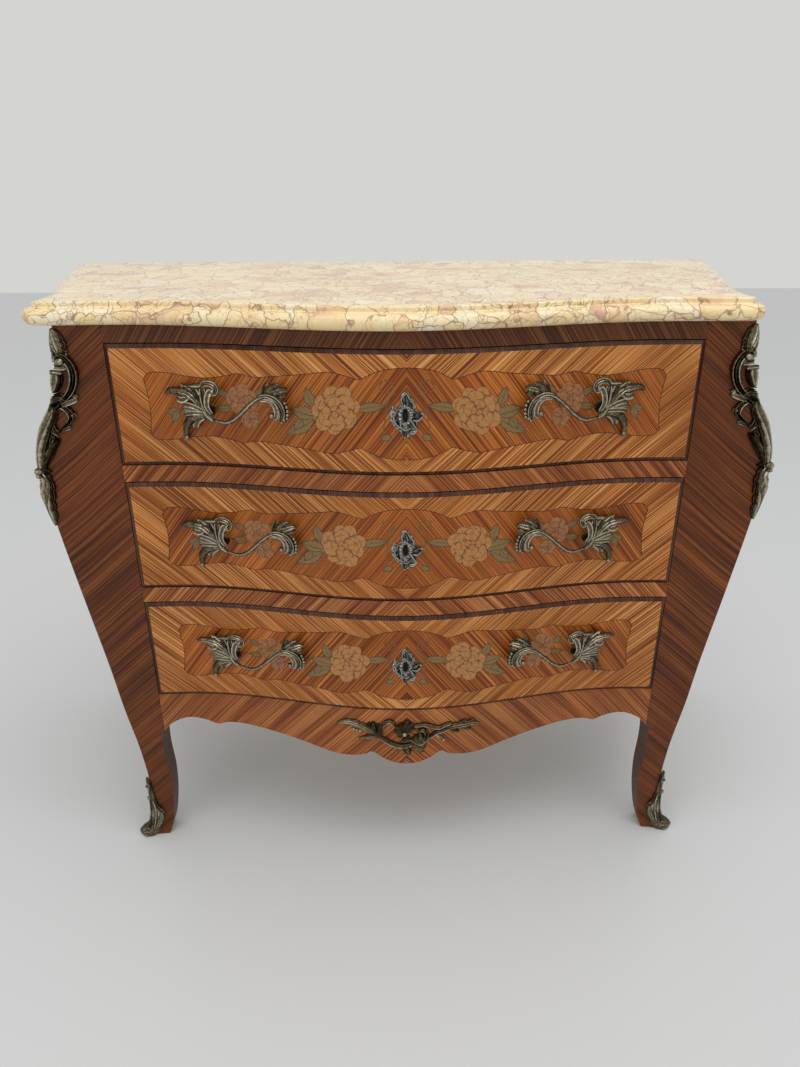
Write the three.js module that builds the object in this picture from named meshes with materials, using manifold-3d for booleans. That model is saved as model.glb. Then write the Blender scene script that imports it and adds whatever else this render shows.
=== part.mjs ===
// Commode chest in the French rococo manner: a bombe carcase on cabriole legs, three serpentine
// drawers with cast fittings, and a loose moulded marble slab. Millimetres, +Z up, front towards -Y.
import * as THREE from 'three';
import { mergeVertices } from 'three/addons/utils/BufferGeometryUtils.js';
import Module from 'manifold-3d';

const wasm = await Module();
wasm.setup();

// Overall sizes
const overallDepth = 480;        // nose of the slab at the centre to its back edge
const carcaseHeight = 845;       // floor to the underside of the slab
const frontCornerHalf = 442;     // half width of the carcase at its front corners, at the top
const sideSplay = 75;            // how much further out each side is at the back
const bellyProud = 47;           // how far the sides swell past their top edge
const backBellyShare = 0.6;      // share of that swelling left at the back corners
const seatGap = 0.3;             // between pieces that touch
const cutOverrun = 5;            // how far a cutter runs past the face that it opens
const cutTolerance = 0.02;       // cut faces are thinned out to this

// Serpentine front: bulge at the centre, slight hollow, then a rise to the corners
const centreBulge = 48;
const hollowDepth = 1.5;
const cornerReach = 107;         // width over which the front rises to each corner
const cornerRise = 7;
const bulgeHalf = frontCornerHalf - cornerReach;

// Slab
const slabThickness = 28;
const slabRoll = 20.5;           // height of the lower bullnose
const slabRollShare = 1.1;       // depth of the bullnose against half its height
const slabStep = 15;             // from the nose of the roll in to the upper fillet
const slabFillet = 2.6;          // radius on the upper edge
const slabFrontOverhang = 17;
const slabBulgeExtra = 6;
const slabSideOverhang = 15;
const slabBackOverhang = 8;
const slabShift = -13;           // the loose slab lies this far off the middle, to the left
const slabCornerRadius = 28;
const slabHorn = 10;             // extra reach of its front corners sideways
const slabHornReach = 85;        // over this length behind the corner

// Drawers and rails, from the top down
const drawerRows = 3;
const stileWidth = 59;           // of the front stiles at the top
const railHeight = 24;
const topRailHeight = 23.5;
const apronHeight = 59.5;        // from the leg up to the lowest drawer's opening
const railDepth = 44;
const drawerGap = 1.2;
const drawerSideGap = 2.4;
const drawerProud = 3.5;
const drawerChamfer = 5;
const drawerEdgeShare = 0.1;     // share of the chamfer left at its outer edge
const frontThickness = 21;
const drawerSideThickness = 12;
const drawerSideDrop = 9;        // sides stop this far below the top of the opening
const drawerBottomThickness = 6;
const drawerBottomRise = 9;
const grooveDepth = 5;
const drawerBackDrop = 10;
const tailCount = 4;
const tailLength = 12;
const tailShare = 0.27;          // half a tail's root against the pitch
const tailFlare = 0.22;

// Carcase
const stileDepth = 46;
const panelThickness = 16;
const backPanelThickness = 8;
const postWidth = 40;
const postDepth = 38;
const legHeight = 222;
const boardThickness = 9;
const boardEdgeGap = 1.8;        // inner boards stop this far short of the curved sides
const runnerWidth = 26;
const runnerHeight = 8;
const arrisRadius = 3;
const toeForward = 4;            // the toe stands this far in front of the stile
const toeRearShare = 0.5;        // how much of that the back of the leg follows
const sideDip = 16;              // drop of a side panel's lower edge at mid depth
const sideDipRise = 6.4;         // how far that edge's ends stand above the leg's top
const drawerRearGap = 11.4;      // from a drawer's back end to the back panel

// Locks
const lockWidth = 60;
const lockHeight = 44;
const lockThickness = 11;
const lockLetIn = 2.5;
const boltWidth = 24;
const boltThickness = 5;
const boltLength = 22;
const boltThrow = 8;
const boltClearance = 0.5;
const mortiseClearance = 1.5;
const boltSetBack = 4;           // bolt to the front wall of its case
const keyholeWidth = 3.6;
const keyholeHeight = 9;

// Cast fittings
const handleSpan = 168;
const handleInset = 153;         // middle of a handle from the end of its drawer's opening
const handleDrop = 4;
const handleProud = 27;          // middle of the bail in front of the drawer
const handlePostRadius = 7.5;
const handlePostFlare = 1.3;     // wider again where it meets the drawer
const mountLength = 266;
const mountProud = 14;
const mountTopDrop = 4;
const mountWrap = 12;            // width of face over which a corner mount turns the corner
const mountSideShare = 0.75;     // reach of the side scrolls against the front ones
const sabotHeight = 122;
const sabotWall = 4;
const escutcheonWidth = 47;
const escutcheonHeight = 62;
const escutcheonThickness = 3.2;
const escutcheonRim = 3;
const apronMountSpan = 222;
const apronMountProud = 11;
const apronMountRise = 14;       // its middle above the top of the leg
const castShare = 0.6;           // thickness of free cast work against its width
const castTolerance = 0.3;      // joined cast work is thinned out to this
const frondSteps = 3;            // least steps along a frond
const frondTurn = 45;            // degrees of turn that take one more

// Places worked out from those sizes
const openingHalf = frontCornerHalf - stileWidth;
const railsHeight = topRailHeight + (drawerRows - 1) * railHeight;
const openingHeight = (carcaseHeight - railsHeight - apronHeight - legHeight) / drawerRows;
const handleX = openingHalf - handleInset;
const apronMountZ = legHeight + apronMountRise;
const frontPlane = -overallDepth / 2 + slabFrontOverhang + slabBulgeExtra + centreBulge - hollowDepth;
const carcaseBack = overallDepth / 2 - slabBackOverhang;
const railRear = frontPlane + railDepth;
const openingTop = (row) => carcaseHeight - topRailHeight - row * (openingHeight + railHeight);
const openingBottom = (row) => openingTop(row) - openingHeight;
const apronTop = openingBottom(drawerRows - 1) - seatGap;

// Half width of a front corner against height, as shares of the carcase height and of the swelling
const swellShares = [
  [0, -0.2], [0.03, -0.36], [0.07, -0.45], [0.115, -0.47], [0.16, -0.43], [0.22, -0.31], [0.3, -0.08],
  [0.392, 0.135], [0.54, 0.55], [0.654, 0.86], [0.71, 0.975], [0.757, 1], [0.8, 0.91], [0.836, 0.68],
  [0.87, 0.38], [0.906, 0.14], [0.95, 0.03], [1, 0],
];
// Inner edge of a front leg against height, as shares of the leg height and of the stile's width
const legInnerShares = [
  [0, 0.27], [0.08, 0.17], [0.17, 0.1], [0.34, 0.035], [0.52, 0.03], [0.72, 0.1], [0.9, 0.09], [1, 0],
];
// Depth of a leg against height, as shares of the leg height and of the stile's depth
const legDepthShares = [[0, 0.62], [0.1, 0.6], [0.3, 0.7], [0.6, 0.85], [0.85, 0.97], [1, 1]];
// Forward sweep of the foot against height, as shares of the leg height and of the toe's reach
const toeShares = [[0, 1], [0.06, 0.75], [0.15, 0.35], [0.3, 0.08], [0.5, 0], [1, 0]];
// Levels at which the curved uprights are drawn: down the leg, below the belly and over it
const legLevelShares = [0, 0.075, 0.15, 0.225, 0.3, 0.45, 0.6, 0.8, 1];
const bellyLevelShares = [
  0.34, 0.43, 0.53, 0.62, 0.67, 0.7, 0.73, 0.757, 0.785, 0.81, 0.84, 0.87, 0.9, 0.93, 0.96,
];
// Lower edge of the apron from the middle out, as shares of the opening's half width and of the leg height
const apronShares = [
  [0, 0.806], [0.05, 0.82], [0.095, 0.856], [0.14, 0.908], [0.17, 0.88], [0.23, 0.862], [0.3, 0.872],
  [0.4, 0.925], [0.49, 0.967], [0.6, 1.008], [0.68, 1.028], [0.735, 1.026], [0.775, 1.008], [0.81, 1.035],
  [0.86, 1.06], [0.9, 1.062], [0.945, 1.035], [0.975, 1], [1, 0.95],
];

// Materials
const material = (colour, roughness, metalness) =>
  new THREE.MeshStandardMaterial({ color: colour, roughness, metalness });
const veneer = material(0x8a4f2b, 0.32, 0);
const carcaseVeneer = material(0x74402a, 0.34, 0);
const drawerVeneer = material(0xa5622f, 0.3, 0);
const innerWood = material(0xb78d5c, 0.7, 0);
const bronze = material(0x6b5f42, 0.42, 1);
const steel = material(0x77736a, 0.45, 1);
const marble = material(0xdcc49c, 0.18, 0);

const part = new THREE.Group();

function add(name, geometry, finish) {
  const mesh = new THREE.Mesh(geometry, finish);
  mesh.name = name;
  part.add(mesh);
  return mesh;
}

// Curves read from tables of shares
function profile(shares, span, reach) {
  const points = shares.map(([along, out]) => new THREE.Vector2(along * span, out * reach));
  return (at) => {
    let i = 0;
    while (i < points.length - 2 && at > points[i + 1].x) i += 1;
    const p0 = points[Math.max(i - 1, 0)];
    const p1 = points[i];
    const p2 = points[i + 1];
    const p3 = points[Math.min(i + 2, points.length - 1)];
    const width = p2.x - p1.x;
    const t = THREE.MathUtils.clamp((at - p1.x) / width, 0, 1);
    const slope1 = (p2.y - p0.y) / (p2.x - p0.x) * width;
    const slope2 = (p3.y - p1.y) / (p3.x - p1.x) * width;
    const t2 = t * t;
    const t3 = t2 * t;
    return (2 * t3 - 3 * t2 + 1) * p1.y + (t3 - 2 * t2 + t) * slope1
      + (3 * t2 - 2 * t3) * p2.y + (t3 - t2) * slope2;
  };
}

const swell = profile(swellShares, carcaseHeight, bellyProud);
const legInner = profile(legInnerShares, legHeight, frontCornerHalf - openingHalf);
const legDepth = profile(legDepthShares, legHeight, stileDepth);
const toe = profile(toeShares, legHeight, toeForward);
const apronEdge = profile(apronShares, openingHalf, legHeight);

// The front as a plan curve and the sides as a surface
function bulge(x, height = centreBulge) {
  const out = Math.abs(x);
  if (out < bulgeHalf) return height * Math.cos(Math.PI * out / (2 * bulgeHalf)) ** 2 - hollowDepth;
  const rise = (out - bulgeHalf) / (frontCornerHalf - bulgeHalf);
  return cornerRise * Math.min(rise, 1) ** 2 - hollowDepth;
}
const frontY = (x) => frontPlane - bulge(x);
const cornerY = frontPlane - cornerRise + hollowDepth;
const smooth = (t) => t * t * (3 - 2 * t);
function sideX(y, z) {
  const t = THREE.MathUtils.clamp((y - cornerY) / (carcaseBack - cornerY), 0, 1);
  return frontCornerHalf + sideSplay * smooth(t) + swell(z) * (1 - (1 - backBellyShare) * t);
}

// Closed bodies from rings of points
function volumeOf(positions, triangles) {
  let sum = 0;
  for (let i = 0; i < triangles.length; i += 3) {
    const [a, b, c] = [0, 1, 2].map((k) => positions[triangles[i + k]]);
    sum += a.dot(new THREE.Vector3().crossVectors(b, c));
  }
  return sum / 6;
}

function bodyFrom(positions, triangles) {
  if (volumeOf(positions, triangles) < 0) {
    for (let i = 0; i < triangles.length; i += 3) {
      const keep = triangles[i + 1];
      triangles[i + 1] = triangles[i + 2];
      triangles[i + 2] = keep;
    }
  }
  const geometry = new THREE.BufferGeometry();
  const places = positions.flatMap((p) => p.toArray());
  geometry.setAttribute('position', new THREE.Float32BufferAttribute(places, 3));
  geometry.setIndex(triangles);
  return geometry;
}

function loft(rings, capAxes) {
  const count = rings[0].length;
  const positions = rings.flat();
  const triangles = [];
  for (let r = 0; r + 1 < rings.length; r += 1) {
    for (let i = 0; i < count; i += 1) {
      const a = r * count + i;
      const b = r * count + (i + 1) % count;
      triangles.push(a, b, b + count, a, b + count, a + count);
    }
  }
  const [u, v] = capAxes;
  const ends = [[rings[0], 0], [rings[rings.length - 1], (rings.length - 1) * count]];
  for (const [ring, base] of ends) {
    const flat = ring.map((p) => new THREE.Vector2(p[u], p[v]));
    for (const face of THREE.ShapeUtils.triangulateShape(flat, [])) {
      const turned = base === 0 ? [face[2], face[1], face[0]] : face;
      triangles.push(...turned.map((k) => k + base));
    }
  }
  return bodyFrom(positions, triangles);
}

// Sides of a ring loft and its two caps have to agree, so a ring's own winding decides the caps' turn
function evenLoft(rings, capAxes) {
  const [u, v] = capAxes;
  const area = THREE.ShapeUtils.area(rings[0].map((p) => new THREE.Vector2(p[u], p[v])));
  const ordered = area < 0 ? rings.map((ring) => [...ring].reverse()) : rings;
  return loft(ordered, capAxes);
}

// Solids for joining and cutting
function solidOf(geometry) {
  const bare = new THREE.BufferGeometry();
  const source = geometry.index ? geometry.toNonIndexed() : geometry;
  bare.setAttribute('position', source.getAttribute('position'));
  const merged = mergeVertices(bare, 1e-4);
  return new wasm.Manifold(new wasm.Mesh({
    numProp: 3,
    vertProperties: new Float32Array(merged.getAttribute('position').array),
    triVerts: new Uint32Array(merged.index.array),
  }));
}

function geometryOf(solid) {
  const mesh = solid.getMesh();
  const geometry = new THREE.BufferGeometry();
  const places = new Float32Array(mesh.numVert * 3);
  for (let i = 0; i < mesh.numVert; i += 1) {
    for (let k = 0; k < 3; k += 1) places[i * 3 + k] = mesh.vertProperties[i * mesh.numProp + k];
  }
  geometry.setAttribute('position', new THREE.BufferAttribute(places, 3));
  geometry.setIndex(new THREE.BufferAttribute(new Uint32Array(mesh.triVerts), 1));
  return geometry;
}

const joined = (solids) => solids.reduce((sum, solid) => sum.add(solid));

const thinned = (solid, tolerance) => solid.asOriginal().simplify(tolerance);

// The other hand of a piece: its mirror image across the middle plane
function mirrored(geometry) {
  const copy = geometry.clone();
  const places = copy.getAttribute('position');
  for (let i = 0; i < places.count; i += 1) places.setX(i, -places.getX(i));
  const index = copy.index.array;
  for (let i = 0; i < index.length; i += 3) {
    const keep = index[i + 1];
    index[i + 1] = index[i + 2];
    index[i + 2] = keep;
  }
  return copy;
}

function block(low, high) {
  const [w, d, h] = [0, 1, 2].map((k) => high[k] - low[k]);
  const box = new THREE.BoxGeometry(w, d, h);
  box.translate(low[0] + w / 2, low[1] + d / 2, low[2] + h / 2);
  return box;
}

// A plank whose outline in plan is a list of points, between two heights
function plank(outline, low, high) {
  const rings = [low, high].map((z) => outline.map(([x, y]) => new THREE.Vector3(x, y, z)));
  return evenLoft(rings, ['x', 'y']);
}

const steps = (count) => Array.from({ length: count + 1 }, (_, i) => i / count);
const heights = (low, high, count) => steps(count).map((t) => low + t * (high - low));
const uprightLevels = [
  ...legLevelShares.map((share) => share * legHeight),
  ...bellyLevelShares.map((share) => share * carcaseHeight),
  carcaseHeight - seatGap,
];

// Front stile and leg in one length of timber, the right hand one
function stile(grow) {
  const rings = uprightLevels.map((z) => {
    const leg = Math.min(z, legHeight);
    const inner = openingHalf + legInner(leg);
    const corner = sideX(cornerY, z) + grow;
    const forward = toe(leg);
    const rear = frontPlane + (z < legHeight ? legDepth(leg) : stileDepth) - forward * toeRearShare;
    const faceAt = (x) => frontY(Math.min(x, frontCornerHalf)) - forward - grow;
    const middle = (inner + corner) / 2;
    const face = faceAt(corner);
    const eased = arrisRadius * (1 - Math.SQRT1_2);
    return [
      [inner, faceAt(inner)], [middle, faceAt(middle)], [corner - arrisRadius, face],
      [corner - eased, face + eased], [corner, face + arrisRadius],
      [sideX(rear, z) + grow, rear], [inner, rear],
    ].map(([x, y]) => new THREE.Vector3(x, y, z));
  });
  return evenLoft(rings, ['x', 'y']);
}

// Back post and leg, flat at the back and following the side outside
function post() {
  const rings = uprightLevels.map((z) => {
    const share = z < legHeight ? legDepth(z) / stileDepth : 1;
    const front = carcaseBack - postDepth * share;
    const outerFront = sideX(front, z);
    const outerBack = sideX(carcaseBack, z);
    const inner = outerBack - postWidth * share;
    return [
      new THREE.Vector3(inner, front, z), new THREE.Vector3(outerFront, front, z),
      new THREE.Vector3(outerBack, carcaseBack, z), new THREE.Vector3(inner, carcaseBack, z),
    ];
  });
  return evenLoft(rings, ['x', 'y']);
}

// Bombe side panel between stile and post, with a shaped lower edge
const panelFront = frontPlane + stileDepth + seatGap;
const panelRear = carcaseBack - postDepth - seatGap;
function sidePanel() {
  const rings = steps(9).map((t) => {
    const y = panelFront + t * (panelRear - panelFront);
    const low = legHeight + sideDipRise - sideDip * Math.sin(Math.PI * t) ** 2;
    const levels = heights(low, carcaseHeight - seatGap, 12);
    const outer = levels.map((z) => new THREE.Vector3(sideX(y, z), y, z));
    const inner = levels.map((z) => new THREE.Vector3(sideX(y, z) - panelThickness, y, z));
    return [...outer, ...inner.reverse()];
  });
  return evenLoft(rings, ['x', 'z']);
}

// A rail that follows the serpentine front
function rail(low, high) {
  const half = openingHalf - seatGap;
  const xs = heights(-half, half, 28);
  const outline = [...xs.map((x) => [x, frontY(x)]), [half, railRear], [-half, railRear]];
  return plank(outline, low, high);
}

function mortise(bottom) {
  const half = boltWidth / 2 + mortiseClearance;
  const [near, far] = boltSpan();
  return block([-half, near - mortiseClearance, bottom - cutOverrun],
    [half, far + mortiseClearance, bottom + boltThrow + mortiseClearance]);
}

// Apron with a scalloped lower edge
function apron() {
  const half = openingHalf - seatGap;
  const outs = apronShares.map(([share]) => share);
  const xs = [...outs.slice(1).map((s) => -s * half).reverse(), ...outs.map((s) => s * half)];
  const rings = xs.map((x) => {
    const low = apronEdge(Math.abs(x) / half * openingHalf);
    const face = frontY(x);
    return [
      new THREE.Vector3(x, face, low), new THREE.Vector3(x, face, apronTop),
      new THREE.Vector3(x, face + frontThickness, apronTop), new THREE.Vector3(x, face + frontThickness, low),
    ];
  });
  return evenLoft(rings, ['y', 'z']);
}

// Board that fills the carcase in plan at a given height, behind the rails and inside the panels
function innerBoard(low) {
  const front = railRear + seatGap;
  const rear = carcaseBack - backPanelThickness - seatGap;
  const top = low + boardThickness;
  const inside = (y) => Math.min(sideX(y, low), sideX(y, top)) - panelThickness - boardEdgeGap;
  const postFront = panelRear;
  const postInner = Math.min(sideX(carcaseBack, low), sideX(carcaseBack, top)) - postWidth - boardEdgeGap;
  const ys = heights(Math.max(panelFront, front), postFront, 8);
  const right = [...ys.map((y) => [inside(y), y]), [postInner, postFront], [postInner, rear]];
  const left = right.map(([x, y]) => [-x, y]).reverse();
  const outline = [...right, ...left];
  return plank(outline, low, top);
}

// Drawer front: serpentine, chamfered all round, with the lock, the bottom and the tails let in
const sideOuter = openingHalf - drawerSideGap;
const sideInner = sideOuter - drawerSideThickness;
const frontInside = (x) => frontY(x) + frontThickness;
const sideRear = carcaseBack - backPanelThickness - drawerRearGap;
const tailTip = frontInside(sideOuter) - tailLength;

function boltSpan() {
  const near = frontY(0) + frontThickness - lockLetIn + boltSetBack;
  return [near, near + boltThickness];
}

function drawerRow(row) {
  const low = openingBottom(row) + drawerGap;
  const high = openingTop(row) - drawerGap;
  const sideLow = openingBottom(row) + seatGap;
  const sideHigh = openingTop(row) - drawerSideDrop;
  const bottomLow = sideLow + drawerBottomRise;
  const half = openingHalf - drawerGap;
  return { low, high, sideLow, sideHigh, bottomLow, half };
}

function tails(row, grow) {
  const { low, sideHigh } = drawerRow(row);
  const pitch = (sideHigh - low) / tailCount;
  return Array.from({ length: tailCount }, (_, i) => {
    const middle = low + pitch * (i + 1 / 2);
    const root = pitch * tailShare + grow;
    const tip = root * (1 + tailFlare);
    const rear = frontInside(sideInner) + seatGap + cutOverrun;
    const ring = (x) => [
      new THREE.Vector3(x, rear, middle - root), new THREE.Vector3(x, tailTip - grow, middle - tip),
      new THREE.Vector3(x, tailTip - grow, middle + tip), new THREE.Vector3(x, rear, middle + root),
    ];
    return solidOf(evenLoft([ring(sideInner - grow), ring(sideOuter + grow)], ['y', 'z']));
  });
}

function keyhole(from, to, middle) {
  return solidOf(block([-keyholeWidth / 2, from, middle - keyholeHeight / 2],
    [keyholeWidth / 2, to, middle + keyholeHeight / 2]));
}

function drawerFront(row) {
  const { low, high, bottomLow, half } = drawerRow(row);
  const inner = heights(-half + drawerChamfer, half - drawerChamfer, 20);
  const xs = [-half, ...inner, half];
  const rings = xs.map((x, i) => {
    const edge = i === 0 || i === xs.length - 1;
    const left = edge ? drawerEdgeShare : 1;
    const proud = drawerProud * left;
    const inset = drawerChamfer * left;
    const face = frontY(x);
    const rear = frontInside(x);
    return [
      [rear, low], [face, low], [face - proud, low + inset],
      [face - proud, high - inset], [face, high], [rear, high],
    ].map(([y, z]) => new THREE.Vector3(x, y, z));
  });
  const lockTop = high + cutOverrun;
  const lockFace = frontInside(0) - lockLetIn;
  const lockRecess = block([-lockWidth / 2 - seatGap, lockFace, high - lockHeight - seatGap],
    [lockWidth / 2 + seatGap, frontInside(0) + cutOverrun, lockTop]);
  const grooveEnd = sideInner + seatGap;
  const grooveFloor = frontInside(sideInner) - grooveDepth;
  const grooveMouth = frontInside(sideInner) + cutOverrun;
  const groove = plank([
    [-grooveEnd, grooveFloor], ...bottomFront(-grooveDepth), [grooveEnd, grooveFloor],
    [grooveEnd, grooveMouth], [-grooveEnd, grooveMouth],
  ], bottomLow - seatGap, bottomLow + drawerBottomThickness + seatGap);
  let solid = solidOf(evenLoft(rings, ['y', 'z']));
  solid = solid.subtract(solidOf(lockRecess)).subtract(solidOf(groove));
  const keyholeFront = frontY(0) - drawerProud - cutOverrun;
  solid = solid.subtract(keyhole(keyholeFront, frontInside(0) + cutOverrun, keyholeZ(row)));
  for (const socket of tails(row, seatGap)) {
    solid = solid.subtract(socket);
    solid = solid.subtract(solidOf(mirrored(geometryOf(socket))));
  }
  return geometryOf(thinned(solid, cutTolerance));
}

// Front edge of a drawer bottom, which follows the serpentine into its groove
function bottomFront(off) {
  const half = sideInner - grooveDepth;
  return heights(-half, half, 12).map((x) => [x, frontInside(x) + off]);
}

const keyholeZ = (row) => (openingTop(row) + openingBottom(row)) / 2;

function drawerSide(row) {
  const { sideLow, sideHigh, bottomLow } = drawerRow(row);
  const body = block([sideInner, frontInside(sideInner) + seatGap, sideLow], [sideOuter, sideRear, sideHigh]);
  const groove = block([sideInner - cutOverrun, frontInside(sideInner), bottomLow - seatGap],
    [sideInner + grooveDepth, sideRear - seatGap, bottomLow + drawerBottomThickness + seatGap]);
  const rearCut = block(
    [sideInner - cutOverrun, sideRear - drawerSideThickness - seatGap, bottomLow - seatGap],
    [sideInner + grooveDepth, sideRear + cutOverrun, sideHigh - drawerBackDrop + seatGap]);
  let solid = joined([solidOf(body), ...tails(row, 0)]);
  solid = solid.subtract(solidOf(groove));
  return geometryOf(solid.subtract(solidOf(rearCut)));
}

function drawerBack(row) {
  const { sideHigh, bottomLow } = drawerRow(row);
  const half = sideInner + grooveDepth - seatGap;
  const low = bottomLow + drawerBottomThickness + seatGap;
  const high = sideHigh - drawerBackDrop;
  return block([-half, sideRear - drawerSideThickness, low], [half, sideRear - seatGap, high]);
}

function drawerBottom(row) {
  const { bottomLow } = drawerRow(row);
  const half = sideInner + grooveDepth - seatGap;
  const front = bottomFront(2 * seatGap - grooveDepth);
  const rear = sideRear - 2 * seatGap;
  const shoulder = frontInside(sideInner) + 2 * seatGap;
  const tongue = sideInner - seatGap;
  const outline = [[-half, shoulder], [-tongue, shoulder], ...front, [tongue, shoulder], [half, shoulder],
    [half, rear], [-half, rear]];
  return plank(outline, bottomLow, bottomLow + drawerBottomThickness);
}

// Lock let into the back of a drawer front, with its bolt in a slot that opens upwards
function lockCase(row) {
  const { high } = drawerRow(row);
  const near = frontInside(0) - lockLetIn + seatGap;
  const [boltNear, boltFar] = boltSpan();
  const half = lockWidth / 2;
  const slotHalf = boltWidth / 2 + boltClearance;
  const body = block([-half, near, high - lockHeight], [half, near + lockThickness, high]);
  const slot = block([-slotHalf, boltNear - boltClearance, high - boltLength - boltClearance],
    [slotHalf, boltFar + boltClearance, high + cutOverrun]);
  return geometryOf(solidOf(body).subtract(solidOf(slot)));
}

function lockBolt(row) {
  const { high } = drawerRow(row);
  const [near, far] = boltSpan();
  return block([-boltWidth / 2, near, high - boltLength], [boltWidth / 2, far, high - seatGap]);
}

// Sections of cast work as shares of half width and of height: a bail, a leaf and relief on a face
const bailSection = [[1, 0], [0.5, 0.87], [-0.5, 0.87], [-1, 0], [-0.5, -0.87], [0.5, -0.87]];
const leafSection = [[1, -0.2], [0, 1], [-1, -0.2], [0, -1]];
const reliefSection = [[1, -0.3], [0.45, 0.9], [-0.45, 0.9], [-1, -0.3]];
// Half width along a leaf and along a scroll
const leafWidth = profile([[0, 0.6], [0.4, 1], [0.75, 0.7], [1, 0.12]], 1, 1);
const scrollWidth = profile([[0, 0.7], [0.5, 1], [1, 0.8]], 1, 1);

// A frond of cast work along a curve whose heading turns as it grows. A row of a table of fronds holds
// its root across and up, its heading in degrees, its length, its turn and its extra curl in degrees, its
// half width, and its height at root, middle and tip. Lengths are shares of the fitting's span and
// heights are shares of how proud it stands: heights of the middle for free work, of the crown for relief.
function frond(row, width, section, span, proud, place) {
  const [across, up, heading, length, turn, curl, half, root, middle, tip] = row;
  const lying = section === reliefSection;
  const count = Math.max(frondSteps, Math.ceil(Math.abs(turn + curl) / frondTurn));
  const headingAt = (t) => THREE.MathUtils.degToRad(heading + turn * t + curl * t * t);
  const arch = middle - (root + tip) / 2;
  const heightAt = (t) => proud * (THREE.MathUtils.lerp(root, tip, t) + 4 * arch * t * (1 - t));
  const centre = new THREE.Vector2(across, up).multiplyScalar(span);
  const rings = steps(count).map((t, i) => {
    if (i > 0) {
      const way = headingAt(t - 1 / 2 / count);
      centre.add(new THREE.Vector2(Math.cos(way), Math.sin(way)).multiplyScalar(length * span / count));
    }
    const wide = width(t) * half * span;
    const [level, tall] = lying ? [0, heightAt(t)] : [heightAt(t), wide * castShare];
    const way = headingAt(t);
    return section.map(([a, b]) => new THREE.Vector3(...place(
      centre.x + a * wide * Math.sin(way), level + b * tall, centre.y - a * wide * Math.cos(way))));
  });
  return solidOf(tube(rings));
}

// A tube of rings closed by a fan at each end
function tube(rings) {
  const count = rings[0].length;
  const triangles = [];
  for (let r = 0; r + 1 < rings.length; r += 1) {
    for (let i = 0; i < count; i += 1) {
      const a = r * count + i;
      const b = r * count + (i + 1) % count;
      triangles.push(a, b, b + count, a, b + count, a + count);
    }
  }
  const last = (rings.length - 1) * count;
  for (let i = 1; i + 1 < count; i += 1) {
    triangles.push(0, i + 1, i);
    triangles.push(last, last + i, last + i + 1);
  }
  return bodyFrom(rings.flat(), triangles);
}

// Drawer handle, left hand: the swung bail with its C-scroll, then a cluster of leaves and a crown
const handleBailShares = [-0.19, -0.01, -25, 0.52, 100, -28, 0.016, 0.4, 1, 0.9];
const handleScrollShares = [
  [0.24, 0.1, 48, 0.36, -160, 0, 0.048, 0.85, 0.65, 0.45],
  [0.28, 0.13, -5, 0.19, -165, 0, 0.017, 0.65, 0.6, 0.5],
  [-0.18, -0.02, 100, 0.39, 60, -290, 0.036, 0.45, 0.52, 0.44],
];
const handleLeafShares = [
  [-0.17, -0.02, 115, 0.41, 90, 0, 0.046, 0.42, 0.45, 0.25],
  [-0.16, 0.2, 178, 0.13, 12, 0, 0.026, 0.42, 0.36, 0.3],
  [-0.18, -0.01, 145, 0.2, 50, 0, 0.034, 0.42, 0.4, 0.28],
  [-0.18, -0.01, 170, 0.19, 18, 0, 0.03, 0.42, 0.38, 0.28],
  [-0.17, -0.02, 195, 0.33, 80, 0, 0.038, 0.42, 0.38, 0.22],
  [-0.18, -0.02, 222, 0.17, 30, 0, 0.025, 0.42, 0.34, 0.24],
  [0.34, 0.14, 97, 0.13, -6, 0, 0.023, 0.6, 0.55, 0.45],
  [0.38, 0.14, 60, 0.12, 8, 0, 0.025, 0.6, 0.55, 0.45],
  [0.42, 0.12, 48, 0.1, 8, 0, 0.024, 0.58, 0.5, 0.4],
];
const handlePostShares = [[-0.18, 0.02], [0.42, 0.07]];

function handle(row) {
  const middleZ = keyholeZ(row) - handleDrop;
  const faceY = (x) => frontY(x) - drawerProud;
  const [leftPost, rightPost] = handlePostShares.map(([across]) => across * handleSpan - handleX);
  const slope = (faceY(rightPost) - faceY(leftPost)) / (rightPost - leftPost);
  const restY = (x) => faceY(leftPost) + slope * (x - leftPost);
  const place = (across, out, up) => [across - handleX, restY(across - handleX) - out, middleZ + up];
  const grow = (row, width, section) => frond(row, width, section, handleSpan, handleProud, place);
  const solids = [
    grow(handleBailShares, scrollWidth, bailSection),
    ...handleScrollShares.map((shares) => grow(shares, scrollWidth, leafSection)),
    ...handleLeafShares.map((shares) => grow(shares, leafWidth, leafSection)),
  ];
  const length = handleProud / 2;
  for (const [across, up] of handlePostShares) {
    const post = new THREE.CylinderGeometry(handlePostRadius, handlePostRadius * handlePostFlare, length, 6);
    post.rotateX(Math.PI / 2);
    post.translate(...place(across * handleSpan, length / 2, up * handleSpan));
    solids.push(solidOf(post));
  }
  return geometryOf(thinned(joined(solids).subtract(solidOf(frontSkin(row, seatGap))), castTolerance));
}

// The space that a drawer front and a small gap take up, for trimming what is screwed to it
function frontSkin(row, gap) {
  const { low, high, half } = drawerRow(row);
  const xs = heights(-half, half, 30);
  const outline = [
    ...xs.map((x) => [x, frontY(x) - drawerProud - gap]),
    [half, frontInside(half) + cutOverrun], [-half, frontInside(half) + cutOverrun],
  ];
  return plank(outline, low - cutOverrun, high + cutOverrun);
}

// Escutcheon: a scrolled cartouche with a raised rim round the keyhole
const escutcheonShares = [
  [0, 0.5], [0.16, 0.44], [0.3, 0.47], [0.42, 0.36], [0.36, 0.22], [0.47, 0.1], [0.5, -0.04], [0.4, -0.16],
  [0.44, -0.3], [0.3, -0.37], [0.17, -0.36], [0.1, -0.46], [0, -0.5],
];
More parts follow.
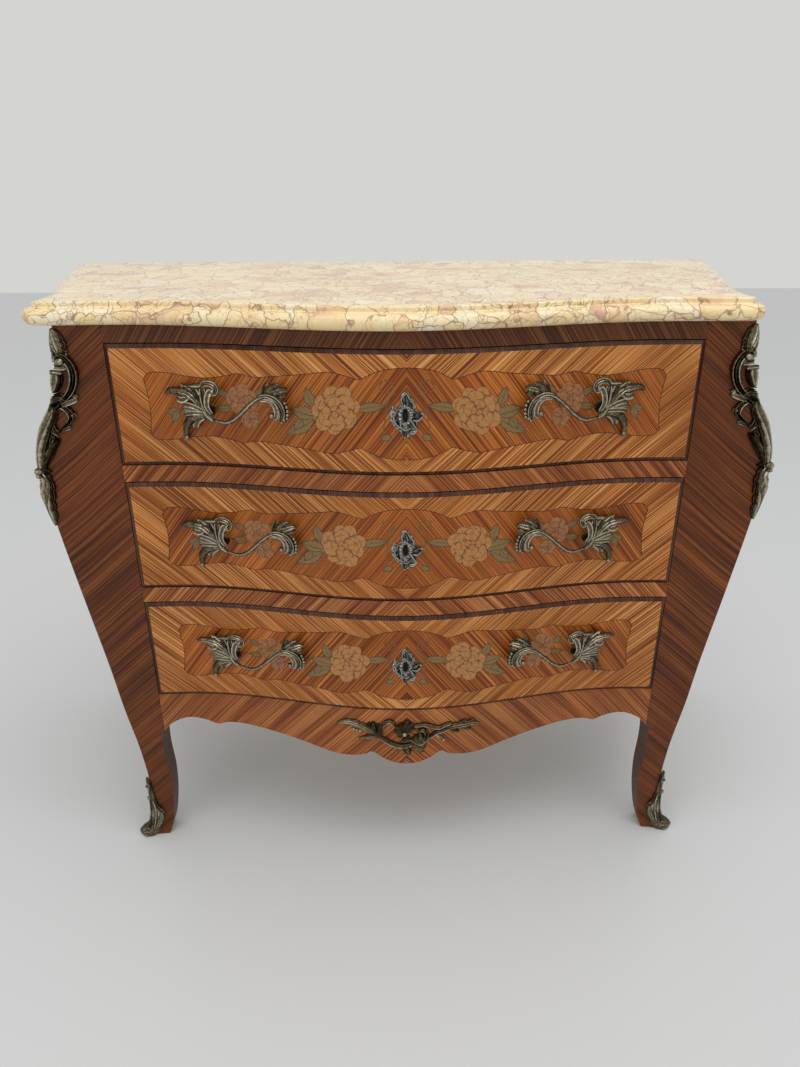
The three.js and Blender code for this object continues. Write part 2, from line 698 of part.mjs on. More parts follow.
// Its rings from the edge in, as shares of the outline, of the thickness and of the rim
const escutcheonRingShares = [[1, 0, 0], [0.92, 1, 0], [0.6, 0.8, 0], [0.42, 1, 1], [0.26, 1, 1]];
function escutcheon(row) {
  const scale = new THREE.Vector2(escutcheonWidth, escutcheonHeight);
  const right = escutcheonShares.map(([x, z]) => new THREE.Vector2(x, z).multiply(scale));
  const left = right.slice(1, -1).reverse().map((p) => new THREE.Vector2(-p.x, p.y));
  const edge = new THREE.SplineCurve([...right, ...left, right[0]]).getPoints(32).slice(0, -1);
  const middle = keyholeZ(row);
  const back = frontY(0) - drawerProud - seatGap;
  const rings = escutcheonRingShares.map(([share, plate, rim]) => {
    const y = back - plate * escutcheonThickness - rim * escutcheonRim;
    return edge.map((p) => new THREE.Vector3(p.x * share, y, middle + p.y * share));
  });
  const drilled = keyhole(back - escutcheonThickness - escutcheonRim - cutOverrun, back + cutOverrun, middle);
  return geometryOf(thinned(solidOf(evenLoft(rings, ['x', 'z'])).subtract(drilled), castTolerance));
}

// Corner mount, right hand: leaves down the corner, with openwork scrolls on the front and on the side.
// Across runs from the corner over the front face, and back over the side where it is negative.
const mountLeafShares = [
  [0.03, -0.16, 80, 0.16, 36, 0, 0.038, 0.4, 0.4, 0.2],
  [0, -0.31, -90, 0.4, 2, 0, 0.056, 0.6, 1, 0.6],
  [-0.004, -0.68, -84, 0.33, -16, 0, 0.045, 0.5, 0.7, 0.15],
];
const mountBudShares = [
  [0.012, -0.13, -92, 0.2, 0, 0, 0.03, 0.5, 0.55, 0.6],
  [-0.004, -0.65, -90, 0.07, 0, 0, 0.028, 0.7, 0.8, 0.7],
];
const mountSideScrollShares = [
  [-0.005, -0.155, -18, 0.26, -138, 0, 0.02, 0.4, 0.6, 0.4],
  [0, -0.368, 8, 0.27, -190, 0, 0.018, 0.4, 0.5, 0.4],
];
const mountSideLeafShares = [
  [0.03, -0.345, 25, 0.1, -70, 0, 0.014, 0.55, 0.5, 0.35],
  [0.02, -0.57, 42, 0.1, 30, 0, 0.02, 0.5, 0.5, 0.3],
  [0, -0.69, -5, 0.055, -10, 0, 0.014, 0.6, 0.5, 0.3],
];

function cornerPlace(across, out, up) {
  const z = carcaseHeight - mountTopDrop + up;
  const turn = THREE.MathUtils.clamp(across / mountWrap + 1 / 2, 0, 1) * Math.PI / 2;
  const y = cornerY + Math.max(-across, 0);
  const x = sideX(y, z) - Math.max(across, 0);
  return [x + out * Math.cos(turn), y - out * Math.sin(turn), z];
}

function cornerMount() {
  const onSide = (across, out, up) => cornerPlace(-across * mountSideShare, out, up);
  const grow = (row, width, place) => frond(row, width, reliefSection, mountLength, mountProud, place);
  const solids = [
    ...mountLeafShares.map((shares) => grow(shares, leafWidth, cornerPlace)),
    ...mountBudShares.map((shares) => grow(shares, scrollWidth, cornerPlace)),
  ];
  for (const place of [cornerPlace, onSide]) {
    solids.push(...mountSideScrollShares.map((shares) => grow(shares, scrollWidth, place)));
    solids.push(...mountSideLeafShares.map((shares) => grow(shares, leafWidth, place)));
  }
  return geometryOf(thinned(joined(solids).subtract(solidOf(stile(seatGap))), castTolerance));
}

// Sabot: a leaf-topped shoe round the outer corner of a front foot, right hand. Each row holds its
// level, how far it wraps the leg, and its thickness at the side and at the front against the wall.
const sabotShares = [
  [0, 0.75, 2.6, 0.9], [0.05, 0.82, 3.4, 1.1], [0.14, 0.8, 2, 1], [0.3, 0.72, 1.1, 0.9],
  [0.48, 0.62, 1, 0.8], [0.62, 0.4, 1.2, 0.8], [0.7, 0.3, 0.9, 0.7], [0.82, 0.34, 1.3, 0.8],
  [0.93, 0.24, 1, 0.6], [1, 0.08, 0.6, 0.4],
];
// Its section from the front face round to the side: reach in from the corner, side wall, depth, front wall
const sabotSectionShares = [
  [-1, 0, 0, -0.25], [-0.5, 0, 0, -0.8], [0, 0, 0, -1], [0, 0.8, 0, -0.6], [0, 1, 0.2, 0], [0, 0.7, 0.6, 0],
  [0, 0.25, 1, 0], [-0.2, 0, 1, 0], [-1, 0, 0.5, 0],
];
function sabot() {
  const rings = sabotShares.map(([level, wrap, side, front]) => {
    const z = level * sabotHeight;
    const corner = sideX(cornerY, z);
    const face = cornerY - toe(z);
    const reach = (corner - openingHalf - legInner(z)) * wrap;
    const depth = legDepth(z) * wrap;
    return sabotSectionShares.map(([across, sideWall, back, frontWall]) => new THREE.Vector3(
      corner + across * reach + sideWall * side * sabotWall,
      face + back * depth + frontWall * front * sabotWall, z));
  });
  return geometryOf(solidOf(evenLoft(rings, ['x', 'y'])).subtract(solidOf(stile(seatGap))));
}

// Apron mount: leafy arms either side of a shell, bent to the serpentine
const apronLeafShares = [
  [-0.03, 0, 196, 0.46, -130, 130, 0.042, 0.6, 0.75, 0.25],
  [-0.16, -0.02, 172, 0.19, 40, 0, 0.02, 0.6, 0.45, 0.25],
  [-0.2, 0.01, 100, 0.12, 20, 0, 0.023, 0.6, 0.55, 0.3],
  [0, -0.02, -76, 0.19, -28, 0, 0.052, 0.7, 0.55, 0.25],
  [-0.01, -0.06, 91, 0.2, -14, 0, 0.066, 0.8, 1, 0.4],
  [0.17, 0.04, 10, 0.36, -16, 0, 0.044, 0.55, 0.65, 0.25],
];
const apronScrollShares = [
  [-0.16, -0.02, 95, 0.24, 0, -200, 0.013, 0.45, 0.55, 0.5],
  [-0.14, -0.03, -40, 0.39, 100, 0, 0.025, 0.55, 0.65, 0.45],
  [0, 0.05, 20, 0.21, -50, 0, 0.021, 0.6, 0.6, 0.5],
  [0.15, 0.05, -57, 0.14, 30, 0, 0.014, 0.45, 0.45, 0.35],
];
function apronMount() {
  const place = (across, out, up) => [across, frontY(across) - out, apronMountZ + up];
  const grow = (row, width) => frond(row, width, reliefSection, apronMountSpan, apronMountProud, place);
  const solids = [
    ...apronLeafShares.map((shares) => grow(shares, leafWidth)),
    ...apronScrollShares.map((shares) => grow(shares, scrollWidth)),
  ];
  const half = openingHalf;
  const face = heights(-half, half, 40).map((x) => [x, frontY(x) - seatGap]);
  const wood = solidOf(plank([...face, [half, railRear], [-half, railRear]], 0, apronTop));
  return geometryOf(thinned(joined(solids).subtract(wood), castTolerance));
}

// Marble slab: one outline in plan, drawn in by the moulding at each level
function slabOutline() {
  const overhang = slabFrontOverhang;
  const sideAt = (y) => {
    const t = THREE.MathUtils.clamp((y - cornerY) / (carcaseBack - cornerY), 0, 1);
    const horn = slabHorn * Math.max(1 - (y - cornerY) / slabHornReach, 0) ** 2;
    return frontCornerHalf + slabSideOverhang + sideSplay * smooth(t) + (y > cornerY ? horn : slabHorn);
  };
  const back = overallDepth / 2;
  const cornerHalf = sideAt(cornerY);
  const face = (x) => frontPlane - overhang
    - bulge(x * frontCornerHalf / cornerHalf, centreBulge + slabBulgeExtra);
  const radius = slabCornerRadius;
  const faceX = cornerHalf - radius;
  const noseY = face(faceX);
  const right = heights(back, noseY + radius, 8).map((y) => [sideAt(y), y]);
  for (const t of steps(4).slice(1, -1)) {
    const turn = t * Math.PI / 2;
    right.push([faceX + radius * Math.cos(turn), noseY + radius - radius * Math.sin(turn)]);
  }
  for (const x of heights(faceX, 0, 11)) right.push([x, face(x)]);
  const left = right.slice(0, -1).reverse().map(([x, y]) => [-x, y]);
  return [...right, ...left].map(([x, y]) => new THREE.Vector2(x, y));
}

function drawnIn(outline, inset) {
  const count = outline.length;
  return outline.map((p, i) => {
    const before = outline[(i + count - 1) % count];
    const after = outline[(i + 1) % count];
    const a = p.clone().sub(before).normalize();
    const b = after.clone().sub(p).normalize();
    const along = a.clone().add(b).normalize();
    const spread = 1 / Math.max(along.dot(a), 0.5);
    const atBack = p.y > overallDepth / 2 - seatGap;
    const way = new THREE.Vector2(-along.y, along.x).multiplyScalar(-inset * spread);
    if (atBack) way.set(-Math.sign(p.x) * inset, 0);
    return p.clone().add(way);
  });
}

function slab() {
  const outline = slabOutline();
  if (THREE.ShapeUtils.area(outline) > 0) outline.reverse();
  const roll = slabRoll / 2;
  const levels = steps(5).map((t) => {
    const turn = Math.PI * (t - 0.5);
    return [roll * (1 - Math.cos(turn)) * slabRollShare, roll + roll * Math.sin(turn)];
  });
  const upper = [[slabStep, slabRoll], [slabStep, slabThickness - slabFillet],
    [slabStep + slabFillet, slabThickness]];
  const rings = [...levels, ...upper].map(([inset, rise]) =>
    drawnIn(outline, inset).map((p) => new THREE.Vector3(p.x, p.y, carcaseHeight + rise)));
  return evenLoft(rings, ['x', 'y']);
}

// Carcase
const rightStile = stile(0);
add('front_stile_right', rightStile, carcaseVeneer);
add('front_stile_left', mirrored(rightStile), carcaseVeneer);
const rightPost = post();
add('back_post_right', rightPost, carcaseVeneer);
add('back_post_left', mirrored(rightPost), carcaseVeneer);
const rightPanel = sidePanel();
add('side_panel_right', rightPanel, carcaseVeneer);
add('side_panel_left', mirrored(rightPanel), carcaseVeneer);

const backRearInset = postWidth + 2 * seatGap;
function backPanel() {
  const rings = uprightLevels.filter((z) => z >= legHeight).map((z) => {
    const half = sideX(carcaseBack, z) - backRearInset;
    const front = carcaseBack - backPanelThickness;
    return [[-half, front], [half, front], [half, carcaseBack], [-half, carcaseBack]]
      .map(([x, y]) => new THREE.Vector3(x, y, z));
  });
  return evenLoft(rings, ['x', 'y']);
}
add('back_panel', backPanel(), innerWood);

const railNames = ['top_rail', 'upper_rail', 'lower_rail'];
railNames.forEach((name, row) => {
  const low = openingTop(row);
  const high = row === 0 ? carcaseHeight - seatGap : openingBottom(row - 1);
  const bar = solidOf(rail(low, high));
  add(name, geometryOf(bar.subtract(solidOf(mortise(low)))), veneer);
});
add('apron', apron(), veneer);

const boardNames = ['upper_dust_board', 'lower_dust_board', 'bottom_board'];
add('top_board', innerBoard(carcaseHeight - seatGap - boardThickness), innerWood);
boardNames.forEach((name, row) => {
  const runnerTop = openingBottom(row);
  const boardLow = runnerTop - runnerHeight - seatGap - boardThickness;
  add(name, innerBoard(boardLow), innerWood);
  const runner = block([sideOuter - runnerWidth, railRear + seatGap, runnerTop - runnerHeight],
    [sideOuter, carcaseBack - backPanelThickness - 2 * seatGap, runnerTop]);
  add(`drawer_runner_${row + 1}_right`, runner, innerWood);
  add(`drawer_runner_${row + 1}_left`, mirrored(runner), innerWood);
});

// Drawers
for (let row = 0; row < drawerRows; row += 1) {
  const tag = `drawer_${row + 1}`;
  add(`${tag}_front`, drawerFront(row), drawerVeneer);
  const side = drawerSide(row);
  add(`${tag}_side_right`, side, innerWood);
  add(`${tag}_side_left`, mirrored(side), innerWood);
  add(`${tag}_back`, drawerBack(row), innerWood);
  add(`${tag}_bottom`, drawerBottom(row), innerWood);
  add(`${tag}_lock_case`, lockCase(row), steel);
  add(`${tag}_lock_bolt`, lockBolt(row), steel);
  add(`${tag}_escutcheon`, escutcheon(row), bronze);
  const leftHandle = handle(row);
  add(`${tag}_handle_left`, leftHandle, bronze);
  add(`${tag}_handle_right`, mirrored(leftHandle), bronze);
}

// Corner and apron bronzes
const rightMount = cornerMount();
add('corner_mount_right', rightMount, bronze);
add('corner_mount_left', mirrored(rightMount), bronze);
const rightSabot = sabot();
add('sabot_right', rightSabot, bronze);
add('sabot_left', mirrored(rightSabot), bronze);
add('apron_mount', apronMount(), bronze);

const slabGeometry = slab();
slabGeometry.translate(slabShift, 0, 0);
add('marble_top', slabGeometry, marble);

export default part;
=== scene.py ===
# Commode chest in the French rococo manner: striped veneer, flower marquetry, cast fittings, marble top.
import math
import bpy
import numpy as np
from mathutils import Matrix


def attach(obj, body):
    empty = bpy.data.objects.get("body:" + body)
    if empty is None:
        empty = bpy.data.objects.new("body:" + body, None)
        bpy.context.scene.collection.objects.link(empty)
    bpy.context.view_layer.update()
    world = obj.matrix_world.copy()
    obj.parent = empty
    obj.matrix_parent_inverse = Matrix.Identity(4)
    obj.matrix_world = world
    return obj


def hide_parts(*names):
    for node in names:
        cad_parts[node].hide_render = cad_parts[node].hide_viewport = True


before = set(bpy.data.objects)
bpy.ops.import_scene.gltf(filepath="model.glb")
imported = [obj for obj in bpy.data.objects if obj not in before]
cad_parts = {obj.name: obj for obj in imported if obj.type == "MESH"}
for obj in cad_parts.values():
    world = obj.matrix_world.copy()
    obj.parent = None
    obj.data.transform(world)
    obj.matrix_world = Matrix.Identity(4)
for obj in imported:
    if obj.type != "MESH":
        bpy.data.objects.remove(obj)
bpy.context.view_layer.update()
mm = 0.001
print("frame loaded:", len(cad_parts), "nodes")


def follow(table, span=1, reach=1):
    # a smooth curve through the table's points, each piece a cubic with the chord of its neighbours as slope
    points = np.array(table, float) * (span, reach)
    def at(values):
        values = np.asarray(values, float)
        i = np.clip(np.searchsorted(points[:, 0], values, side="left") - 1, 0, len(points) - 2)
        before, here = points[np.maximum(i - 1, 0)], points[i]
        after, later = points[i + 1], points[np.minimum(i + 2, len(points) - 1)]
        width = after[..., 0] - here[..., 0]
        t = np.clip((values - here[..., 0]) / width, 0, 1)
        slopeIn = (after[..., 1] - before[..., 1]) / (after[..., 0] - before[..., 0]) * width
        slopeOut = (later[..., 1] - here[..., 1]) / (later[..., 0] - here[..., 0]) * width
        return ((2 * t**3 - 3 * t**2 + 1) * here[..., 1] + (t**3 - 2 * t**2 + t) * slopeIn
                + (3 * t**2 - 2 * t**3) * after[..., 1] + (t**3 - t**2) * slopeOut)
    return at


chest = {
    "height": 845 * mm, "frontPlane": -170.5 * mm, "back": 232 * mm, "depth": 480 * mm,
    "cornerHalf": 442 * mm, "splay": 75 * mm, "belly": 47 * mm, "backBelly": 0.6,
    "bulge": 48 * mm, "hollow": 1.5 * mm, "bulgeHalf": 335 * mm, "cornerRise": 7 * mm,
    "openingHalf": 383 * mm, "legHeight": 222 * mm, "stileDepth": 46 * mm, "arris": 3 * mm,
    "toeForward": 4 * mm, "toeRear": 0.5, "panelThickness": 16 * mm, "postWidth": 40 * mm,
    "postDepth": 38 * mm, "gap": 0.3 * mm, "sideDip": 16 * mm, "sideDipRise": 6.4 * mm,
    "apronTop": 281.2 * mm, "apronThickness": 21 * mm, "drawerProud": 3.5 * mm, "chamfer": 5 * mm,
    "drawerHalf": 381.8 * mm, "keyholes": (739.5 * mm, 551.5 * mm, 363.5 * mm),
    "drawerHeight": 161.6 * mm, "veneer": 0.6 * mm,
}
swell = follow([
    (0, -0.2), (0.03, -0.36), (0.07, -0.45), (0.115, -0.47), (0.16, -0.43), (0.22, -0.31), (0.3, -0.08),
    (0.392, 0.135), (0.54, 0.55), (0.654, 0.86), (0.71, 0.975), (0.757, 1), (0.8, 0.91), (0.836, 0.68),
    (0.87, 0.38), (0.906, 0.14), (0.95, 0.03), (1, 0)], chest["height"], chest["belly"])
legInner = follow([
    (0, 0.27), (0.08, 0.17), (0.17, 0.1), (0.34, 0.035), (0.52, 0.03), (0.72, 0.1), (0.9, 0.09), (1, 0)],
    chest["legHeight"], chest["cornerHalf"] - chest["openingHalf"])
legDepth = follow([(0, 0.62), (0.1, 0.6), (0.3, 0.7), (0.6, 0.85), (0.85, 0.97), (1, 1)],
                  chest["legHeight"], chest["stileDepth"])
toe = follow([(0, 1), (0.06, 0.75), (0.15, 0.35), (0.3, 0.08), (0.5, 0), (1, 0)],
             chest["legHeight"], chest["toeForward"])
apronEdge = follow([
    (0, 0.806), (0.05, 0.82), (0.095, 0.856), (0.14, 0.908), (0.17, 0.88), (0.23, 0.862), (0.3, 0.872),
    (0.4, 0.925), (0.49, 0.967), (0.6, 1.008), (0.68, 1.028), (0.735, 1.026), (0.775, 1.008), (0.81, 1.035),
    (0.86, 1.06), (0.9, 1.062), (0.945, 1.035), (0.975, 1), (1, 0.95)],
    chest["openingHalf"], chest["legHeight"])
cornerY = chest["frontPlane"] - chest["cornerRise"] + chest["hollow"]


def bulge(x, height):
    # cosine squared bow between the hollows, then a parabola up to the corner
    out = np.abs(x)
    bow = height * np.cos(np.pi * out / (2 * chest["bulgeHalf"]))**2
    rise = np.clip((out - chest["bulgeHalf"]) / (chest["cornerHalf"] - chest["bulgeHalf"]), 0, 1)
    return np.where(out < chest["bulgeHalf"], bow, chest["cornerRise"] * rise**2) - chest["hollow"]


def frontY(x):
    return chest["frontPlane"] - bulge(x, chest["bulge"])


def faceY(x):
    # the face of a closed drawer
    return frontY(x) - chest["drawerProud"]


def flare(y):
    # how far back the side is, from the front corner to the back, and how much it has opened there
    t = np.clip((y - cornerY) / (chest["back"] - cornerY), 0, 1)
    return t, chest["splay"] * t * t * (3 - 2 * t)


def sideX(y, z):
    # the side flares backwards by a smooth step and swells with height, less so at the back
    t, opened = flare(y)
    return chest["cornerHalf"] + opened + swell(z) * (1 - (1 - chest["backBelly"]) * t)


def spots(x, y, z):
    # arrays or single values as one grid of points
    return np.stack(np.broadcast_arrays(x, y, z), -1)


def linear(code):
    # sRGB hex to linear light
    parts = [int(code[i:i + 2], 16) / 255 for i in (1, 3, 5)]
    return [p / 12.92 if p <= 0.04045 else ((p + 0.055) / 1.055)**2.4 for p in parts] + [1]


def gridFaces(rows, columns, ring):
    # quads between neighbouring points of a grid, whose columns close on themselves where ring is set
    i, j = np.meshgrid(np.arange(rows - 1), np.arange(columns if ring else columns - 1), indexing="ij")
    k = (j + 1) % columns
    quads = [i * columns + j, i * columns + k, (i + 1) * columns + k, (i + 1) * columns + j]
    return np.stack(quads, -1).reshape(-1, 4)


def makePiece(name, grids, material, body, replaced=(), ring=False, ends=False, sharp=None, shades=None):
    # one object from grids of points (rows, columns, 3), with end caps on closed sections; a closed form is
    # turned so that its volume is positive, an open one so that it faces the front
    faces, base = [], 0
    for grid in grids:
        rows, columns = grid.shape[:2]
        flat = grid.reshape(-1, 3)
        middle = flat.mean(0)
        quads = gridFaces(rows, columns, ring)
        corners = flat[quads] - middle
        area = np.cross(corners[:, 2] - corners[:, 0], corners[:, 3] - corners[:, 1])
        caps = [np.arange(columns)[::-1], np.arange(columns) + (rows - 1) * columns] if ends else []
        out = (corners.mean(1) * area).sum() if ends else -area[:, 1].sum()
        for cap in caps:
            edge = flat[cap] - middle
            out += (edge.mean(0) * np.cross(edge, np.roll(edge, -1, 0)).sum(0)).sum()
        step = 1 if out > 0 else -1
        faces += (quads[:, ::step] + base).tolist() + [(cap[::step] + base).tolist() for cap in caps]
        base += rows * columns
    mesh = bpy.data.meshes.new(name)
    mesh.from_pydata(np.concatenate([grid.reshape(-1, 3) for grid in grids]).tolist(), [], faces)
    mesh.polygons.foreach_set("use_smooth", np.ones(len(mesh.polygons), bool))
    if shades is not None:      # how light a point is, read by the material
        tones = [np.broadcast_to(tone, grid.shape[:2]).ravel() for grid, tone in zip(grids, shades)]
        layer = mesh.attributes.new("shade", "FLOAT", "POINT")
        layer.data.foreach_set("value", np.concatenate(tones).astype(np.float32))
    mesh.update()
    if sharp:
        mesh.set_sharp_from_angle(angle=math.radians(sharp))
    piece = bpy.data.objects.new(name, mesh)
    bpy.context.scene.collection.objects.link(piece)
    mesh.materials.append(material)
    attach(piece, body)
    if replaced:
        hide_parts(*replaced)
    return piece


def makePair(name, replaced, grids, material, body, sharp, shades=None, hands=("_right", "_left")):
    # a closed piece as it is given, for the first hand, and its mirror image for the second
    return [makePiece(name + hand, [grid * (mirror, 1, 1) for grid in grids], material, body,
                      [replaced + hand], True, True, sharp, shades)
            for hand, mirror in zip(hands, (1, -1))]


def newMaterial(name):
    material = bpy.data.materials.new(name)
    material.use_nodes = True
    tree = material.node_tree
    return material, tree, tree.nodes["Principled BSDF"]


def feed(tree, node, inputs):
    # a socket is linked into the node's input, anything else becomes the input's value
    for key, value in inputs.items():
        if isinstance(value, bpy.types.NodeSocket):
            tree.links.new(value, node.inputs[key])
        else:
            node.inputs[key].default_value = value


def addNode(tree, kind, inputs, output=0, stops=(), **settings):
    # a node with its settings and what is fed into it; gives back one of its outputs. The stops of a ramp
    # are places with an sRGB colour or a grey level
    node = tree.nodes.new("ShaderNode" + kind)
    for key, value in settings.items():
        setattr(node, key, value)
    feed(tree, node, inputs)
    if stops:
        elements = node.color_ramp.elements
        while len(elements) < len(stops):
            elements.new(0.5)
        for element, (place, code) in zip(elements, stops):
            element.position = place
            element.color = linear(code) if isinstance(code, str) else (code, code, code, 1)
    return node.outputs[output]


# Sawn tulipwood and kingwood veneer, laid in stripes, French polished: fine dark and light streaks of
# about 1 mm inside bands of 13 mm, under a thin soft gloss. Turn is the stripes' angle in degrees
veneerLooks = {
    "drawer field": {"turn": -53, "stops": ("#5b2909", "#8a4411", "#aa5c20", "#ca823d"), "seed": 1.0},
    "drawer border": {"turn": 43, "stops": ("#622d0d", "#98521c", "#bf7634", "#e2a969"), "seed": 4.0},
    "rail": {"turn": -48, "stops": ("#51240d", "#834119", "#a55e2d", "#c98c54"), "seed": 7.0},
    "top rail": {"turn": -57, "stops": ("#331506", "#50270d", "#683716", "#82502a"), "seed": 9.0},
    "carcase": {"turn": -38, "stops": ("#3a1806", "#57280b", "#6f3813", "#8b5022"), "seed": 12.0},
    "side": {"turn": -42, "stops": ("#3a1806", "#57280b", "#6f3813", "#8b5022"), "seed": 15.0},
    "edge": {"turn": 90, "stops": ("#28110a", "#3e1e12", "#52301e", "#6b4229"), "seed": 18.0},
}
veneerWork = {
    # each streak's size across and along the grain in mm, and its detail
    "bands": (13, 500, 2.0), "fine": (1.1, 380, 1.0), "thin": (0.8, 160, 1.0), "streakRough": 0.6,
    "bandShare": 0.34, "thinShare": 0.26, "stops": (0.42, 0.48, 0.53, 0.6), "sideMiddle": 30 * mm,
    # slow change of depth over the leaf, from sun and wear
    "patches": 7.0, "depth": {"From Min": 0.35, "From Max": 0.7, "To Min": 0.84, "To Max": 1.12},
    "roughness": {"To Min": 0.31, "To Max": 0.46}, "grain": {"Strength": 0.12, "Distance": 0.2 * mm},
    "polish": {"Specular IOR Level": 0.24, "Coat Weight": 0.05, "Coat Roughness": 0.2},
}


def stripedVeneer(label):
    look, work = veneerLooks[label], veneerWork
    material, tree, shader = newMaterial("polished tulipwood veneer, " + label)
    place = addNode(tree, "TexCoord", {}, "Object")
    x, y, z = addNode(tree, "SeparateXYZ", {"Vector": place}).node.outputs
    if label == "side":         # book matched about the middle of the side
        x = addNode(tree, "Math", {0: y, 1: work["sideMiddle"]}, operation="SUBTRACT")
    half = addNode(tree, "Math", {0: x}, operation="ABSOLUTE")
    if label == "carcase":      # the stripes run on round the corner
        half = addNode(tree, "Math", {0: half, 1: y}, operation="SUBTRACT")
    flat = addNode(tree, "CombineXYZ", {"X": half, "Y": look["seed"], "Z": z})
    turned = addNode(tree, "VectorRotate", {"Vector": flat, "Angle": math.radians(look["turn"])},
                     rotation_type="Y_AXIS")
    streaks = []
    for across, along, detail in (work[key] for key in ("bands", "fine", "thin")):
        scaled = addNode(tree, "Mapping", {"Vector": turned, "Scale": (1000 / along, 1, 1000 / across)})
        streaks.append(addNode(tree, "TexNoise", {"Vector": scaled, "Scale": 1.0, "Detail": detail,
                                                  "Roughness": work["streakRough"]}))
    bands, fine, thin = streaks
    mixed = addNode(tree, "Mix", {"Factor": work["bandShare"], "A": fine, "B": bands}, data_type="FLOAT")
    mixed = addNode(tree, "Mix", {"Factor": work["thinShare"], "A": mixed, "B": thin}, data_type="FLOAT")
    tone = addNode(tree, "ValToRGB", {"Fac": mixed}, stops=list(zip(work["stops"], look["stops"])))
    patch = addNode(tree, "TexNoise", {"Vector": place, "Scale": work["patches"], "Detail": 2.0})
    depth = addNode(tree, "MapRange", {"Value": patch, **work["depth"]})
    feed(tree, shader, {
        "Base Color": addNode(tree, "HueSaturation", {"Value": depth, "Color": tone}),
        "Roughness": addNode(tree, "MapRange", {"Value": fine, **work["roughness"]}),
        "Normal": addNode(tree, "Bump", {"Height": thin, **work["grain"]}), **work["polish"]})
    return material


def plainWood(name, colours, across, rough, along="X"):
    # planed deal or solid timber: soft rings seen as streaks along the board, matt
    material, tree, shader = newMaterial(name)
    place = addNode(tree, "TexCoord", {}, "Object")
    scale = [3 if axis == along else 1000 / across for axis in "XYZ"]
    scaled = addNode(tree, "Mapping", {"Vector": place, "Scale": scale})
    grain = addNode(tree, "TexNoise", {"Vector": scaled, "Scale": 1.0, "Detail": 3.0, "Distortion": 0.4})
    feed(tree, shader, {
        "Base Color": addNode(tree, "ValToRGB", {"Fac": grain}, stops=list(zip((0.3, 0.5, 0.7), colours))),
        "Normal": addNode(tree, "Bump", {"Height": grain, "Strength": 0.2, "Distance": 0.4 * mm}),
        "Roughness": rough})
    return material


def castBronze(name, dark, middle, rubbedAndHighlit, roughness):
    # patinated casting with painted light: dark olive brown patina and painted shade in the hollows, paler from
    # rubbing and with a painted highlight on what stands up, in spots of about 4 mm
    material, tree, shader = newMaterial(name)
    place = addNode(tree, "TexCoord", {}, "Object")
    crown = addNode(tree, "Attribute", {}, "Fac", attribute_name="shade")
    worn = addNode(tree, "TexNoise", {"Vector": place, "Scale": 260.0, "Detail": 3.0, "Roughness": 0.6})
    patch = addNode(tree, "Math", {0: worn, 1: 0.9, 2: -0.45}, operation="MULTIPLY_ADD")
    level = addNode(tree, "Math", {0: crown, 1: patch}, operation="ADD")
    feed(tree, shader, {
        "Base Color": addNode(tree, "ValToRGB", {"Fac": level},
                              stops=[(0.1, dark), (0.55, middle), (0.98, rubbedAndHighlit)]),
        "Normal": addNode(tree, "Bump", {"Height": worn, "Strength": 0.35, "Distance": 0.6 * mm}),
        "Metallic": 1.0, "Roughness": roughness})
    return material


breccia = {
    "ground": [(0.25, "#cb9f88"), (0.35, "#e2be98"), (0.45, "#f0d6a2"), (0.6, "#f3dfb2"), (0.76, "#f1e7d0")],
    # cells to the metre, so stones of about 30 mm and splinters of about 11 mm, pushed out of line by the warp
    "stones": 33.0, "splinters": 92.0, "push": (0.09, 0.09, 0.09), "ownShare": 0.3,
    "warp": {"Scale": 9.0, "Detail": 4.0, "Roughness": 0.6},
    "cloud": {"Scale": 14.0, "Detail": 5.0, "Roughness": 0.65, "Distortion": 1.2},
    # veins round the stones, broken off in places, and hairs round the splinters, thick in places
    "vein": [(0.0, 1.0), (0.014, 0.6), (0.04, 0.0)], "veinColour": "#875a4e",
    "broken": {"From Min": 0.35, "From Max": 0.5, "To Min": 0.25, "To Max": 0.85},
    "hair": [(0.0, 1.0), (0.025, 0.4), (0.06, 0.0)], "hairColour": "#80544a",
    "much": {"From Min": 0.35, "From Max": 0.65, "To Min": 0.05},
    "polish": {"Roughness": 0.2, "Specular IOR Level": 0.3, "Coat Weight": 0.1, "Coat Roughness": 0.06},
}


